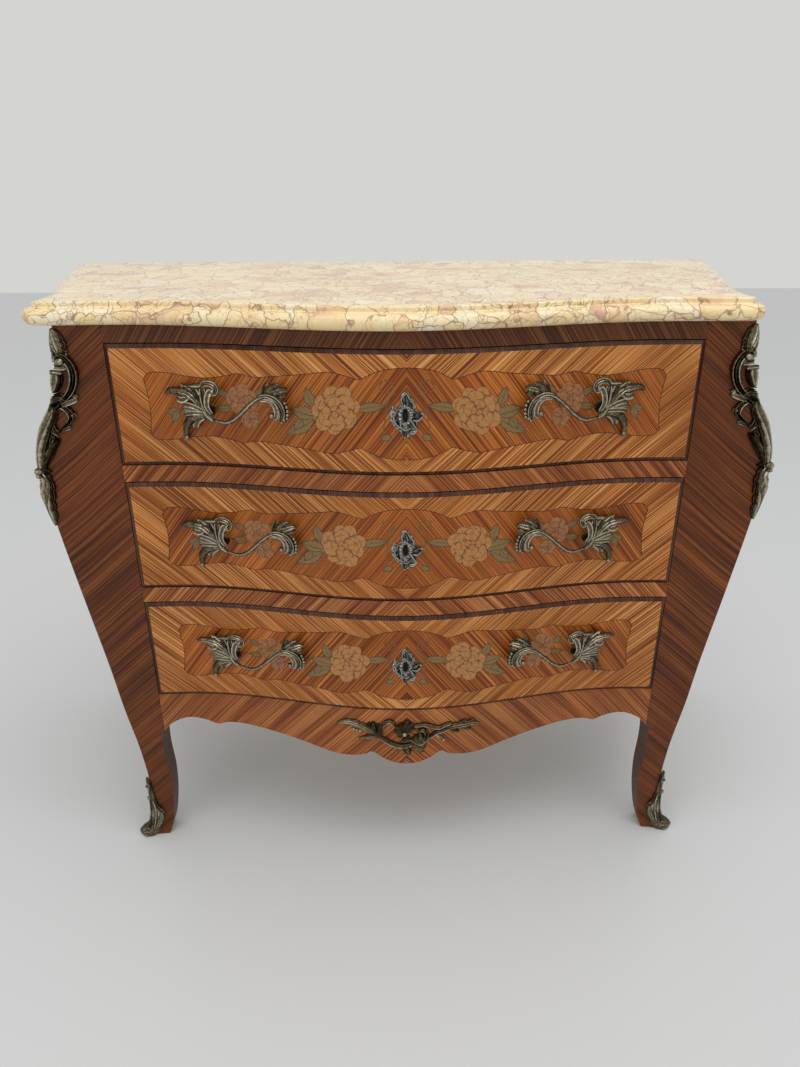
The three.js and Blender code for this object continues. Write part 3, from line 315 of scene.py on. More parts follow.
def polishedMarble():
    # breccia: cream and pink fragments, each with a tone of its own, in broken dark veins
    material, tree, shader = newMaterial("polished cream and pink marble")
    place = addNode(tree, "TexCoord", {}, "Object")
    warp = addNode(tree, "TexNoise", {"Vector": place, **breccia["warp"]}, "Color")
    pushed = addNode(tree, "VectorMath", {0: warp, 1: breccia["push"], 2: place}, operation="MULTIPLY_ADD")
    edges = [addNode(tree, "TexVoronoi", {"Vector": pushed, "Scale": breccia[key]}, "Distance",
                     feature="DISTANCE_TO_EDGE") for key in ("stones", "splinters")]
    stone = addNode(tree, "TexVoronoi", {"Vector": pushed, "Scale": breccia["stones"]}, "Color", feature="F1")
    own = addNode(tree, "SeparateXYZ", {"Vector": stone})
    cloud = addNode(tree, "TexNoise", {"Vector": place, **breccia["cloud"]})
    shares = addNode(tree, "Mix", {"Factor": breccia["ownShare"], "A": cloud, "B": own}, data_type="FLOAT")
    tone = addNode(tree, "ValToRGB", {"Fac": shares}, stops=breccia["ground"])
    vein, hair = (addNode(tree, "ValToRGB", {"Fac": edge}, stops=breccia[key])
                  for edge, key in zip(edges, ("vein", "hair")))
    where = addNode(tree, "TexNoise", {"Vector": place, "Scale": 6.0, "Detail": 2.0})
    much = addNode(tree, "MapRange", {"Value": where, **breccia["much"]})
    broken = addNode(tree, "MapRange", {"Value": cloud, **breccia["broken"]})
    for line, share, colour in ((hair, much, "hairColour"), (vein, broken, "veinColour")):
        drawn = addNode(tree, "Math", {0: line, 1: share}, operation="MULTIPLY")
        tone = addNode(tree, "Mix", {"Factor": drawn, "A": tone, "B": linear(breccia[colour])}, "Result",
                       data_type="RGBA")
    feed(tree, shader, {"Base Color": tone, **breccia["polish"]})
    return material


def inlay(name, centre, rim, streaks):
    # inlaid woods, flush and polished over: a plain tone with a dark scorched rim to each leaf of wood
    material, tree, shader = newMaterial(name)
    place = addNode(tree, "TexCoord", {}, "Object")
    edge = addNode(tree, "Attribute", {}, "Fac", attribute_name="shade")
    scaled = addNode(tree, "Mapping", {"Vector": place, "Scale": (streaks, 1, 60)})
    fibre = addNode(tree, "TexNoise", {"Vector": scaled, "Scale": 9.0, "Detail": 3.0})
    tone = addNode(tree, "MapRange", {"Value": fibre, "From Min": 0.3, "From Max": 0.7, "To Min": 0.8,
                                      "To Max": 1.15})
    wood = addNode(tree, "ValToRGB", {"Fac": edge},
                   stops=[(0.0, rim), (0.2, rim), (0.36, centre[0]), (1.0, centre[1])])
    feed(tree, shader, {"Base Color": addNode(tree, "HueSaturation", {"Value": tone, "Color": wood}),
                        "Roughness": 0.34, "Coat Weight": 0.2, "Coat Roughness": 0.2})
    return material


def glueLined(material):
    # the inner panel shares the field's stripes and has a dark glue line round it
    tree = material.node_tree
    shader = tree.nodes["Principled BSDF"]
    stripes = shader.inputs["Base Color"].links[0].from_socket
    rim = addNode(tree, "Attribute", {}, "Fac", attribute_name="shade")
    line = addNode(tree, "ValToRGB", {"Fac": rim}, stops=[(0.35, 0.0), (0.6, 1.0)])
    joined = addNode(tree, "Mix", {"Factor": line, "A": linear("#34170b"), "B": stripes}, "Result",
                     data_type="RGBA")
    feed(tree, shader, {"Base Color": joined})
    return material


looks = {label: stripedVeneer(label) for label in veneerLooks}
panelLook = glueLined(looks["drawer field"])
dealTones = ("#86623f", "#9a754c", "#aa8658")
deal = plainWood("planed deal", dealTones, 5, 0.65)
dealSide = plainWood("planed deal, grain front to back", dealTones, 5, 0.65, "Y")
darkTimber = plainWood("stained beech", ("#3a1f12", "#4c2a19", "#5e3722"), 6, 0.5)
bronze = castBronze("patinated cast brass", "#2c271e", "#6b6250", "#c8bea6", 0.28)
# the same cast brass in paler tones for the apron mount: painted light
apronBronzePaintedLighter = castBronze("patinated cast brass, painted lighter for the apron", "#443e32", "#80765f", "#d2c8ad", 0.36)
silvered = castBronze("silvered cast brass", "#3d3a35", "#817e76", "#d6d3ca", 0.32)
steel = castBronze("bright filed steel", "#55534f", "#7d7b77", "#9c9a95", 0.42)
marble = polishedMarble()
blossomWood = inlay("inlaid boxwood", ("#935a26", "#b0783c"), "#4a2a12", 30)
roseWood = inlay("inlaid pear", ("#8c5427", "#a26a3a"), "#69391d", 30)
leafWood = inlay("inlaid green stained wood", ("#6c4f24", "#82642f"), "#3a2610", 50)
print("materials made")

uprights = {
    "stileLevels": 130, "postLevels": 70, "faceColumns": 8, "arrisPoints": 6, "sideColumns": 5,
    "postColumns": 6, "crease": 32,
}
uprightTop = chest["height"] - chest["gap"]


def makeUprights(name, section, material, levels, plain):
    # a closed section carried up the levels; its plain sides have no veneer
    grid = np.stack([section(z) for z in np.linspace(0, uprightTop, levels)])
    columns = grid.shape[1]
    pair = makePair(name + "_timber", name, [grid], material, "carcase", uprights["crease"])
    for piece in pair:
        piece.data.materials.append(darkTimber)
        which = np.isin(np.arange(len(piece.data.polygons)) % columns, [k % columns for k in plain])
        piece.data.polygons.foreach_set("material_index", which.astype(np.int32))


def stileSection(z):
    # front face, quarter round arris, flaring side, rear and inner face
    leg = min(z, chest["legHeight"])
    arris = chest["arris"]
    inner = chest["openingHalf"] + float(legInner(leg))
    corner = float(sideX(cornerY, z))
    forward = float(toe(leg))
    deep = float(legDepth(leg)) if z < chest["legHeight"] else chest["stileDepth"]
    rear = chest["frontPlane"] + deep - forward * chest["toeRear"]
    def face(x):
        return frontY(np.minimum(x, chest["cornerHalf"])) - forward
    across = np.linspace(inner, corner - arris, uprights["faceColumns"])
    turn = np.linspace(0, np.pi / 2, uprights["arrisPoints"])[1:]
    at = float(face(corner))
    arcX = corner - arris + arris * np.sin(turn)
    arcY = at + arris - arris * np.cos(turn)
    backY = np.linspace(at + arris, rear, uprights["sideColumns"])[1:]
    backX = corner + (float(sideX(rear, z)) - corner) * (backY - at - arris) / (rear - at - arris)
    xs = np.concatenate([across, arcX, backX, [inner]])
    ys = np.concatenate([face(across), arcY, backY, [rear]])
    return spots(xs, ys, z)


def postSection(z):
    # a plain square post whose outer side follows the side panel
    share = float(legDepth(z)) / chest["stileDepth"] if z < chest["legHeight"] else 1
    front = chest["back"] - chest["postDepth"] * share
    ys = np.linspace(front, chest["back"], uprights["postColumns"])
    xs = sideX(ys, z)
    inner = xs[-1] - chest["postWidth"] * share
    return spots([inner, *xs, inner], [front, *ys, chest["back"]], z)


makeUprights("front_stile", stileSection, looks["carcase"], uprights["stileLevels"], (-2, -1))
makeUprights("back_post", postSection, looks["side"], uprights["postLevels"], (0, -2, -1))

boards = {
    "sideColumns": 50, "sideLevels": 70, "apronColumns": 220, "railColumns": 160, "railRows": 4, "crease": 40,
}


def makeSidePanels():
    # sections across the depth, each a strip up the outside and down the inside
    front = chest["frontPlane"] + chest["stileDepth"] + chest["gap"]
    rear = chest["back"] - chest["postDepth"] - chest["gap"]
    sections = []
    for t in np.linspace(0, 1, boards["sideColumns"]):
        y = front + t * (rear - front)
        low = chest["legHeight"] + chest["sideDipRise"] - chest["sideDip"] * math.sin(math.pi * t)**2
        z = np.linspace(low, uprightTop, boards["sideLevels"])
        x = sideX(y, z)
        outer, inner = spots(x, y, z), spots(x - chest["panelThickness"], y, z)
        sections.append(np.concatenate([outer, inner[::-1]]))
    makePair("side_veneer", "side_panel", [np.stack(sections)], looks["side"], "carcase",
             boards["crease"])


def makeApron():
    # across the width, a section with the veneered face, the scalloped edge and the back
    half = chest["openingHalf"] - chest["gap"]
    x = np.linspace(-half, half, boards["apronColumns"])
    low = apronEdge(np.abs(x) / half * chest["openingHalf"])
    high = np.full_like(x, chest["apronTop"])
    face = frontY(x)
    back = face + chest["apronThickness"]
    corners = [(face, low), (face, low + (high - low) / 3), (face, low + (high - low) * 2 / 3), (face, high),
               (back, high), (back, low)]
    grid = np.stack([spots(x, y, z) for y, z in corners], 1)
    makePiece("apron_board", [grid], looks["rail"], "carcase", ["apron"], True, True,
              boards["crease"])


def frontStrip(name, low, high, material):
    # a leaf of veneer on a rail's face, bent to the serpentine
    half = chest["openingHalf"] - chest["gap"]
    x, z = np.meshgrid(np.linspace(-half, half, boards["railColumns"]),
                       np.linspace(low * mm, high * mm, boards["railRows"]), indexing="ij")
    makePiece(name, [spots(x, frontY(x) - chest["veneer"], z)], material, "carcase")


makeSidePanels()
makeApron()
frontStrip("top_rail_leaf", 821.7, 844.5, looks["top rail"])
frontStrip("upper_rail_leaf", 633.7, 657.3, looks["rail"])
frontStrip("lower_rail_leaf", 445.7, 469.3, looks["rail"])
print("carcase made")

drawerShape = {
    "length": 0.885, "joint": 0.9 * mm, "raised": 0.05 * mm, "columns": 200, "rows": 8,
    "panelColumns": 150, "panelRows": (0, 0.009, 0.018, 0.028, 0.05, 0.3, 0.7),
    # more columns near the panel's ends, in mm from the end
    "panelEnds": (0.4, 0.8, 1.2, 1.8),
    "pinch": 0.012, "pinchFrom": 0.8,
    # half height of the inner panel from the middle out, as shares of the drawer's half width and half height
    "edge": [
        (0, 0.745), (0.035, 0.735), (0.09, 0.69), (0.125, 0.62), (0.155, 0.555), (0.19, 0.6), (0.25, 0.66),
        (0.32, 0.62), (0.4, 0.575), (0.49, 0.53), (0.525, 0.54), (0.56, 0.575), (0.6, 0.53), (0.67, 0.485),
        (0.74, 0.51), (0.8, 0.555), (0.845, 0.565), (0.872, 0.53), (0.885, 0.44)
    ],
}


def lifted(x, z, lift):
    # a point on the drawer's face, brought forward by lift
    return spots(x, faceY(x) - chest["veneer"] - lift, z)


def drawerFace(row):
    middle = chest["keyholes"][row]
    half, tall = chest["drawerHalf"], chest["drawerHeight"] / 2
    flatHalf, flatTall = half - chest["chamfer"], tall - chest["chamfer"]
    body = "drawer_" + str(row + 1)
    long, rise = np.linspace(-1, 1, drawerShape["columns"]), np.linspace(-1, 1, drawerShape["rows"])
    x, z = np.meshgrid(flatHalf * long, middle + flatTall * rise, indexing="ij")
    makePiece(body + "_border_leaf", [lifted(x, z, 0)], looks["drawer border"], body)
    # four chamfers, each a strip from the face out to the drawer's edge
    strips = []
    for sign in (1, -1):
        for across, up in (((flatHalf * long, half * long), (sign * flatTall, sign * tall)),
                           ((sign * flatHalf, sign * half), (flatTall * rise, tall * rise))):
            strips.append(np.stack([lifted(x, middle + z, lift)
                                    for x, z, lift in zip(across, up, (0, -chest["drawerProud"]))]))
    makePiece(body + "_chamfers", strips, looks["edge"], body)
    # inner panel with wavy long sides, its points close together at the rim for the glue line
    edge = follow(drawerShape["edge"], half, tall)
    length = drawerShape["length"] * half
    reach = np.linspace(0, length, drawerShape["panelColumns"])
    reach = np.sort([*reach, *(length - np.array(drawerShape["panelEnds"]) * mm)])
    reach = np.concatenate([-reach[:0:-1], reach])
    part = 1 - np.array(drawerShape["panelRows"])
    x, v = np.meshgrid(reach, [*part, 0, *-part[::-1]], indexing="ij")
    high = edge(np.abs(x))
    inwards = np.clip((np.abs(x) / length - drawerShape["pinchFrom"]) / (1 - drawerShape["pinchFrom"]), 0, 1)**2
    pinched = x * (1 - drawerShape["pinch"] * (1 - v**2) * inwards)
    away = np.minimum((1 - np.abs(v)) * high, length - np.abs(x))
    leaf = lifted(pinched, middle + v * high, drawerShape["raised"])
    makePiece(body + "_panel_leaf", [leaf], panelLook, body,
              shades=[np.clip(away / (2 * drawerShape["joint"]), 0, 1)])


# marquetry: petals and leaves are thin grids laid on the face, placed from the keyhole in mm
marquetry = {
    # centre across and up, radius, petals round the rim, wood
    "blossoms": [(89, 3, 33, 9, "boxwood"), (211, 12, 21, 7, "pear"), (201, -13, 14, 6, "pear")],
    # root across and up, heading, length, width, side lobes
    "leaves": [
        (63, 6, -14, -39, 14, 0), (111, -5, 4, 38, 25, 5), (118, 8, 62, 26, 17, 3), (118, -9, -36, 44, 21, 5),
        (134, -8, -70, 20, 14, 3), (227, 16, 20, 20, 12, 2), (226, 0, -10, 22, 13, 2),
        (294, -4, -20, 20, 13, 3), (298, -4, -75, 20, 12, 3), (20, -26, -38, 15, 10, 0),
        (192, 20, 140, 18, 11, 2)
    ],
    # across, up, heading, length and turn of a stem
    "stems": [
        (26, -2, 80, 34, 60), (26, 28, 190, 46, -330), (26, -3, -72, 26, -20), (232, 4, 175, 60, 10),
        (262, -2, 170, 34, 12), (160, 0, 170, 34, 10)
    ],
    # a blossom's rings from the rim inwards: start, reach, share of the rim's petals, lobes of a petal
    "rings": [(0.44, 0.56, 1, 5), (0.26, 0.5, 0.7, 4), (0.08, 0.42, 0.5, 3), (0, 0.26, 0.3, 2)],
    "scales": (1.0, 0.98, 0.95), "leafRows": 22, "leafColumns": 15, "stemRows": 26, "stemHalf": 0.8 * mm,
    "stemShade": 0.34, "leafRim": 2.6 * mm, "petalRim": 3.8 * mm, "midrib": 0.9 * mm, "ribbedFrom": 11 * mm,
    "stemLift": 0.07, "leafLift": 0.08, "leafStep": 0.006, "petalLift": 0.16, "petalStep": 0.004,
    # how far petals are off their even places, how long and short they are by side, and how they overlap
    "turnSpread": 0.14, "sizeSpread": 0.06, "headingSpread": 0.1, "longer": 1.1, "shorter": 0.92,
    "longSide": 2.2, "overlap": 1.5,
}
dice = np.random.default_rng(7)


def petal(root, heading, length, width, kind, lobes):
    # u runs along the piece and v across it: a leaf swells as a sine of u with saw lobes, a petal is a fan
    # with a round scalloped tip; the shade falls towards the rim
    u, v = np.meshgrid(np.linspace(0, 1, marquetry["leafRows"]), np.linspace(-1, 1, marquetry["leafColumns"]),
                       indexing="ij")
    if kind == "leaf":
        swelling = np.sin(np.pi * np.clip(u * 0.97 + 0.03, 0, 1)**0.85) * (1 - 0.28 * ((u * lobes) % 1.0))
        out, wide, bend = length * u, width / 2 * v * swelling, 0.25 * width * u * u
        ends = np.minimum(u, 1 - u) * length * 3
    else:
        out = length * u * (1 - 0.3 * v * v + 0.05 * np.cos(lobes * np.pi * v))
        wide, bend = width / 2 * v * np.sqrt(1 - ((u - 0.56) / 0.6)**2), 0
        ends = np.minimum(u * 2.5, (1 - u) * 2) * length
    x = root[0] + out * math.cos(heading) - (wide + bend) * math.sin(heading)
    z = root[1] + out * math.sin(heading) + (wide + bend) * math.cos(heading)
    sides = (1 - np.abs(v)) * np.maximum(np.abs(wide / np.where(v == 0, 1, v)), width * 0.1)
    shade = np.minimum(sides, ends) / marquetry[kind + "Rim"]
    if kind == "leaf" and width > marquetry["ribbedFrom"]:      # midrib sawn in with the knife
        shade = np.minimum(shade, 0.12 + np.abs(wide) / marquetry["midrib"])
    return x, z, np.clip(shade, 0, 1)


def stem(root, heading, length, turn):
    # a narrow strip along an arc
    t, v = np.meshgrid(np.linspace(0, 1, marquetry["stemRows"]), (-1, 0, 1), indexing="ij")
    way = np.radians(heading + turn * t)
    step = length / (marquetry["stemRows"] - 1)
    x = root[0] + (np.cumsum(np.cos(way), 0) - np.cos(way[0])) * step - v * marquetry["stemHalf"] * np.sin(way)
    z = root[1] + (np.cumsum(np.sin(way), 0) - np.sin(way[0])) * step + v * marquetry["stemHalf"] * np.cos(way)
    return x, z, marquetry["stemShade"]


def drawerMarquetry(row):
    body = "drawer_" + str(row + 1)
    scale = marquetry["scales"][row] * mm
    grids = {"boxwood": [], "pear": [], "leaf": []}
    shades = {"boxwood": [], "pear": [], "leaf": []}
    def add(wood, side, lift, shape):
        x, z, shade = shape
        grids[wood].append(lifted(side * x, z + chest["keyholes"][row], lift * mm))
        shades[wood].append(shade)
    for side in (-1, 1):
        for across, up, heading, length, turn in marquetry["stems"]:
            root = (across * scale, up * scale)
            add("leaf", side, marquetry["stemLift"], stem(root, heading, length * mm, turn))
        for k, (across, up, heading, length, width, lobes) in enumerate(marquetry["leaves"]):
            heading = math.radians(heading + (180 if length < 0 else 0))
            root = (across * scale, up * scale)
            add("leaf", side, marquetry["leafLift"] + marquetry["leafStep"] * k,
                petal(root, heading, abs(length) * scale, width * scale, "leaf", lobes))
        for across, up, radius, count, wood in marquetry["blossoms"]:
            level = marquetry["petalLift"]
            for ring, (start, reach, share, lobes) in enumerate(marquetry["rings"]):
                number = max(3, round(count * share))
                for i in range(number):
                    turn = 2 * math.pi * (i + 0.5 * (ring % 2)) / number
                    turn += dice.normal(0, marquetry["turnSpread"])
                    size = radius * scale * (1 + dice.normal(0, marquetry["sizeSpread"]))
                    heading = turn + dice.normal(0, marquetry["headingSpread"])
                    diagonal = math.cos(2 * (turn - marquetry["longSide"])) > 0
                    length = size * reach * marquetry["longer" if diagonal else "shorter"]
                    width = 2 * math.pi * size * (start + 0.45 * reach) / number * marquetry["overlap"]
                    root = (across * scale + start * size * math.cos(turn),
                            up * scale + start * size * math.sin(turn))
                    level += marquetry["petalStep"]
                    add(wood, side, level, petal(root, heading, length, width, "petal", lobes))
    for wood, look in (("boxwood", blossomWood), ("pear", roseWood), ("leaf", leafWood)):
        makePiece(body + "_" + wood + "_inlay", grids[wood], look, body, shades=shades[wood])


for row in range(3):
    drawerFace(row)
    drawerMarquetry(row)
print("drawer fronts made")

slab = {
    "thickness": 28 * mm, "roll": 20.5 * mm, "rollShare": 1.1, "step": 15 * mm, "stepChamfer": 1.5 * mm,
    "fillet": 2.6 * mm, "front": 17 * mm, "bulge": 6 * mm, "side": 15 * mm, "shift": -13 * mm,
    "corner": 28 * mm, "horn": 10 * mm, "hornReach": 85 * mm, "even": 6, "inner": (0.99, 0.75, 0.5, 0.25, 0.08),
    "sideColumns": 60, "cornerColumns": 14, "frontColumns": 90, "rollRows": 15, "filletRows": 6, "crease": 38,
}


def slabOutline():
    # right half from the back to the middle of the front: flaring side, round corner, serpentine
    def sideAt(y):
        horn = slab["horn"] * np.maximum(1 - (y - cornerY) / slab["hornReach"], 0)**2
        return chest["cornerHalf"] + slab["side"] + flare(y)[1] + np.where(y > cornerY, horn, slab["horn"])
    def face(x):
        high = chest["bulge"] + slab["bulge"]
        return chest["frontPlane"] - slab["front"] - bulge(x * chest["cornerHalf"] / cornerHalf, high)
    cornerHalf = float(sideAt(cornerY))
    radius = slab["corner"]
    faceX = cornerHalf - radius
    nose = float(face(faceX))
    ys = np.linspace(chest["depth"] / 2, nose + radius, slab["sideColumns"])
    turn = np.linspace(0, np.pi / 2, slab["cornerColumns"])[1:-1]
    xs = np.linspace(faceX, 0, slab["frontColumns"])
    right = np.concatenate([np.stack([sideAt(ys), ys], 1),
                            np.stack([faceX + radius * np.cos(turn), nose + radius - radius * np.sin(turn)], 1),
                            np.stack([xs, face(xs)], 1)])
    return np.concatenate([right, right[-2::-1] * (-1, 1)])


def unit(vectors):
    return vectors / np.linalg.norm(vectors, axis=1)[:, None]


def marbleTop():
    # the outline drawn in along its own normal by the moulding at each level, then shrunk to the middle
    outline = slabOutline()
    ahead, behind = unit(np.roll(outline, -1, 0) - outline), unit(outline - np.roll(outline, 1, 0))
    along = unit(ahead + behind)
    spread = 1 / np.maximum((along * ahead).sum(1), 0.5)
    way = np.stack([-along[:, 1], along[:, 0]], 1) * spread[:, None]
    way *= -np.sign((way * (outline - outline.mean(0))).sum(1).sum())   # inwards
    for _ in range(slab["even"]):       # the bends are evened out, so that no inner ring folds over itself
        way = (np.roll(way, 1, 0) + 2 * way + np.roll(way, -1, 0)) / 4
    atBack = outline[:, 1] > chest["depth"] / 2 - chest["gap"]
    way[atBack] = np.stack([-np.sign(outline[atBack, 0]), np.zeros(atBack.sum())], 1)
    # each level has the moulding's inset, its rise and how far the ring has shrunk to the middle
    roll, step, fillet, chamfer = slab["roll"] / 2, slab["step"], slab["fillet"], slab["stepChamfer"]
    levels = [(roll * (1 - math.cos(t)) * slab["rollShare"], roll + roll * math.sin(t), 0)
              for t in np.linspace(-np.pi / 2, np.pi / 2, slab["rollRows"])]
    levels += [(step - chamfer, slab["roll"], 0), (step, slab["roll"] + chamfer, 0)]
    levels += [(step + fillet * (1 - math.cos(t)), slab["thickness"] - fillet * (1 - math.sin(t)), 0)
               for t in np.linspace(0, np.pi / 2, slab["filletRows"])]
    levels = ([(*levels[0][:2], k) for k in slab["inner"]] + levels
              + [(*levels[-1][:2], k) for k in slab["inner"][::-1]])
    rings = []
    for inset, rise, shrunk in levels:
        flat = (outline + way * inset) * (1 - shrunk) + (slab["shift"], 0)
        rings.append(spots(flat[:, 0], flat[:, 1], chest["height"] + rise))
    makePiece("marble_slab", [np.stack(rings)], marble, "carcase", ["marble_top"], True, True,
              slab["crease"])


marbleTop()
print("marble made")

castWork = {
    "steps": 52, "ring": 36, "thickness": 0.62, "crease": 60, "lobes": 5.5, "ripples": 13, "beadRows": 12,
    "beadColumns": 16,
}
leafWidth = follow([(0, 0.5), (0.35, 1), (0.7, 0.86), (0.92, 0.52), (1, 0.1)])
scrollWidth = follow([(0, 0.65), (0.45, 1), (0.9, 0.85), (1, 0.6)])
budWidth = follow([(0, 0.6), (0.3, 0.9), (0.8, 1), (0.94, 0.72), (1, 0.2)])


def sectionOf(kind, lying):
    # a closed section as shares of half width and height, the front first, with its crown as shade
    count = castWork["ring"]
    a = np.cos(np.linspace(0, np.pi, count // 2 + 1))
    dome = np.sqrt(np.clip(1 - a * a, 0, 1))
    if kind == "leaf":       # full to the rim, with a midrib groove and three ribs each side
        front = dome**0.65 * (0.76 + 0.22 * np.cos(6.5 * np.pi * a) - 0.34 * np.exp(-(a / 0.09)**2))
    elif kind == "lobe":     # a fan lobe: a rounded rim round a fluted hollow
        front = dome**0.45 * (0.36 + 0.62 * np.abs(a)**2.2)
    elif kind == "band":     # raised rims with a hollow between and a bead down the middle
        hollow = 0.32 * np.cos(2 * np.pi * (np.abs(a) - 0.78))
        front = dome**0.5 * (0.6 + hollow + 0.16 * np.exp(-(a / 0.18)**2))
    else:                    # round bail, softly grooved
        front = dome * (0.9 + 0.1 * np.cos(3 * np.pi * a))
    # the tone is patina with painted light: a painted highlight along the crown and painted shade in the
    # hollows, narrower on the round bail
    shade = np.clip(front / front.max(), 0, 1)**(2.8 if kind == "round" else 1.7)
    rear = -0.3 * dome if lying else -(0.9 if kind == "round" else 0.6) * dome
    across = np.concatenate([a, a[-2:0:-1]])
    height = np.concatenate([front, rear[-2:0:-1]])
    tone = np.concatenate([shade, np.full(count // 2 - 1, 0.15)])
    return across, height, tone


def course(points, count):
    # a smooth line through the points at even steps of their chords, with its heading
    points = np.array(points, float)
    chord = np.concatenate([[0], np.cumsum(np.hypot(*np.diff(points, axis=0).T))])
    at = np.linspace(0, chord[-1], count)
    x, z = (follow(list(zip(chord, points[:, k])))(at) for k in (0, 1))
    return x, z, np.arctan2(np.gradient(z), np.gradient(x))


def frond(row, casting, place, lying=True):
    # a section carried along a line: the width swells and tapers by kind, the height goes from root over
    # middle to tip, lobes scallop the rim and, where negative, ripple the crown
    kind, half, (root, middle, tip), lobes, points = row
    unitLength = casting["span"] / 100
    cx, cz, way = course(points, castWork["steps"])
    t = np.linspace(0, 1, castWork["steps"])
    level = casting["proud"] * (root + (tip - root) * t + (4 * middle - 2 * (root + tip)) * t * (1 - t))
    wide = {"leaf": leafWidth, "lobe": budWidth}.get(kind, scrollWidth)(t) * half * unitLength
    rim, height, tone = sectionOf(kind, lying)
    saw = 1 - max(lobes, 0) * (1 - np.abs(np.sin(np.pi * castWork["lobes"] * t**0.9)))**1.5
    ripple = 1 + min(lobes, 0) * np.sin(2 * np.pi * castWork["ripples"] * t)
    reach = wide[:, None] * rim * np.where(np.abs(rim) > 0.5, saw[:, None], 1)
    onFace = lying and kind != "round"
    tall = ((level if onFace else wide * castWork["thickness"]) * ripple)[:, None]
    base = 0 if onFace else level[:, None]
    x = cx[:, None] * unitLength + reach * np.sin(way)[:, None]
    z = cz[:, None] * unitLength - reach * np.cos(way)[:, None]
    return place(x, base + height * tall, z), tone * ripple[:, None]**2


def bead(row, casting, place):
    # a ball centred at out from the face
    across, up, radius, out = row
    unitLength = casting["span"] / 100
    a, b = np.meshgrid(np.linspace(0.02, np.pi - 0.02, castWork["beadRows"]),
                       2 * np.pi * np.arange(castWork["beadColumns"]) / castWork["beadColumns"], indexing="ij")
    r = radius * unitLength
    grid = place(across * unitLength + r * np.sin(a) * np.cos(b), out * casting["proud"] + r * np.cos(a),
                 up * unitLength + r * np.sin(a) * np.sin(b))
    # patina rubbed paler and a painted highlight on the front of the ball, with painted shade round its sides
    return grid, np.clip(0.15 + 0.65 * np.cos(a), 0.1, 1)


def relief(casting, place, lying=True):
    # all fronds and beads of a casting
    return ([frond(row, casting, place, lying) for row in casting["fronds"]]
            + [bead(row, casting, place) for row in casting["beads"]])


def castPiece(name, parts, material, body, replaced=()):
    grids, shades = zip(*parts)
    makePiece(name, grids, material, body, replaced, True, True, castWork["crease"], shades)


def castPair(name, replaced, parts, body="carcase", hands=("_right", "_left")):
    grids, shades = zip(*parts)
    makePair(name, replaced, grids, bronze, body, castWork["crease"], shades, hands)


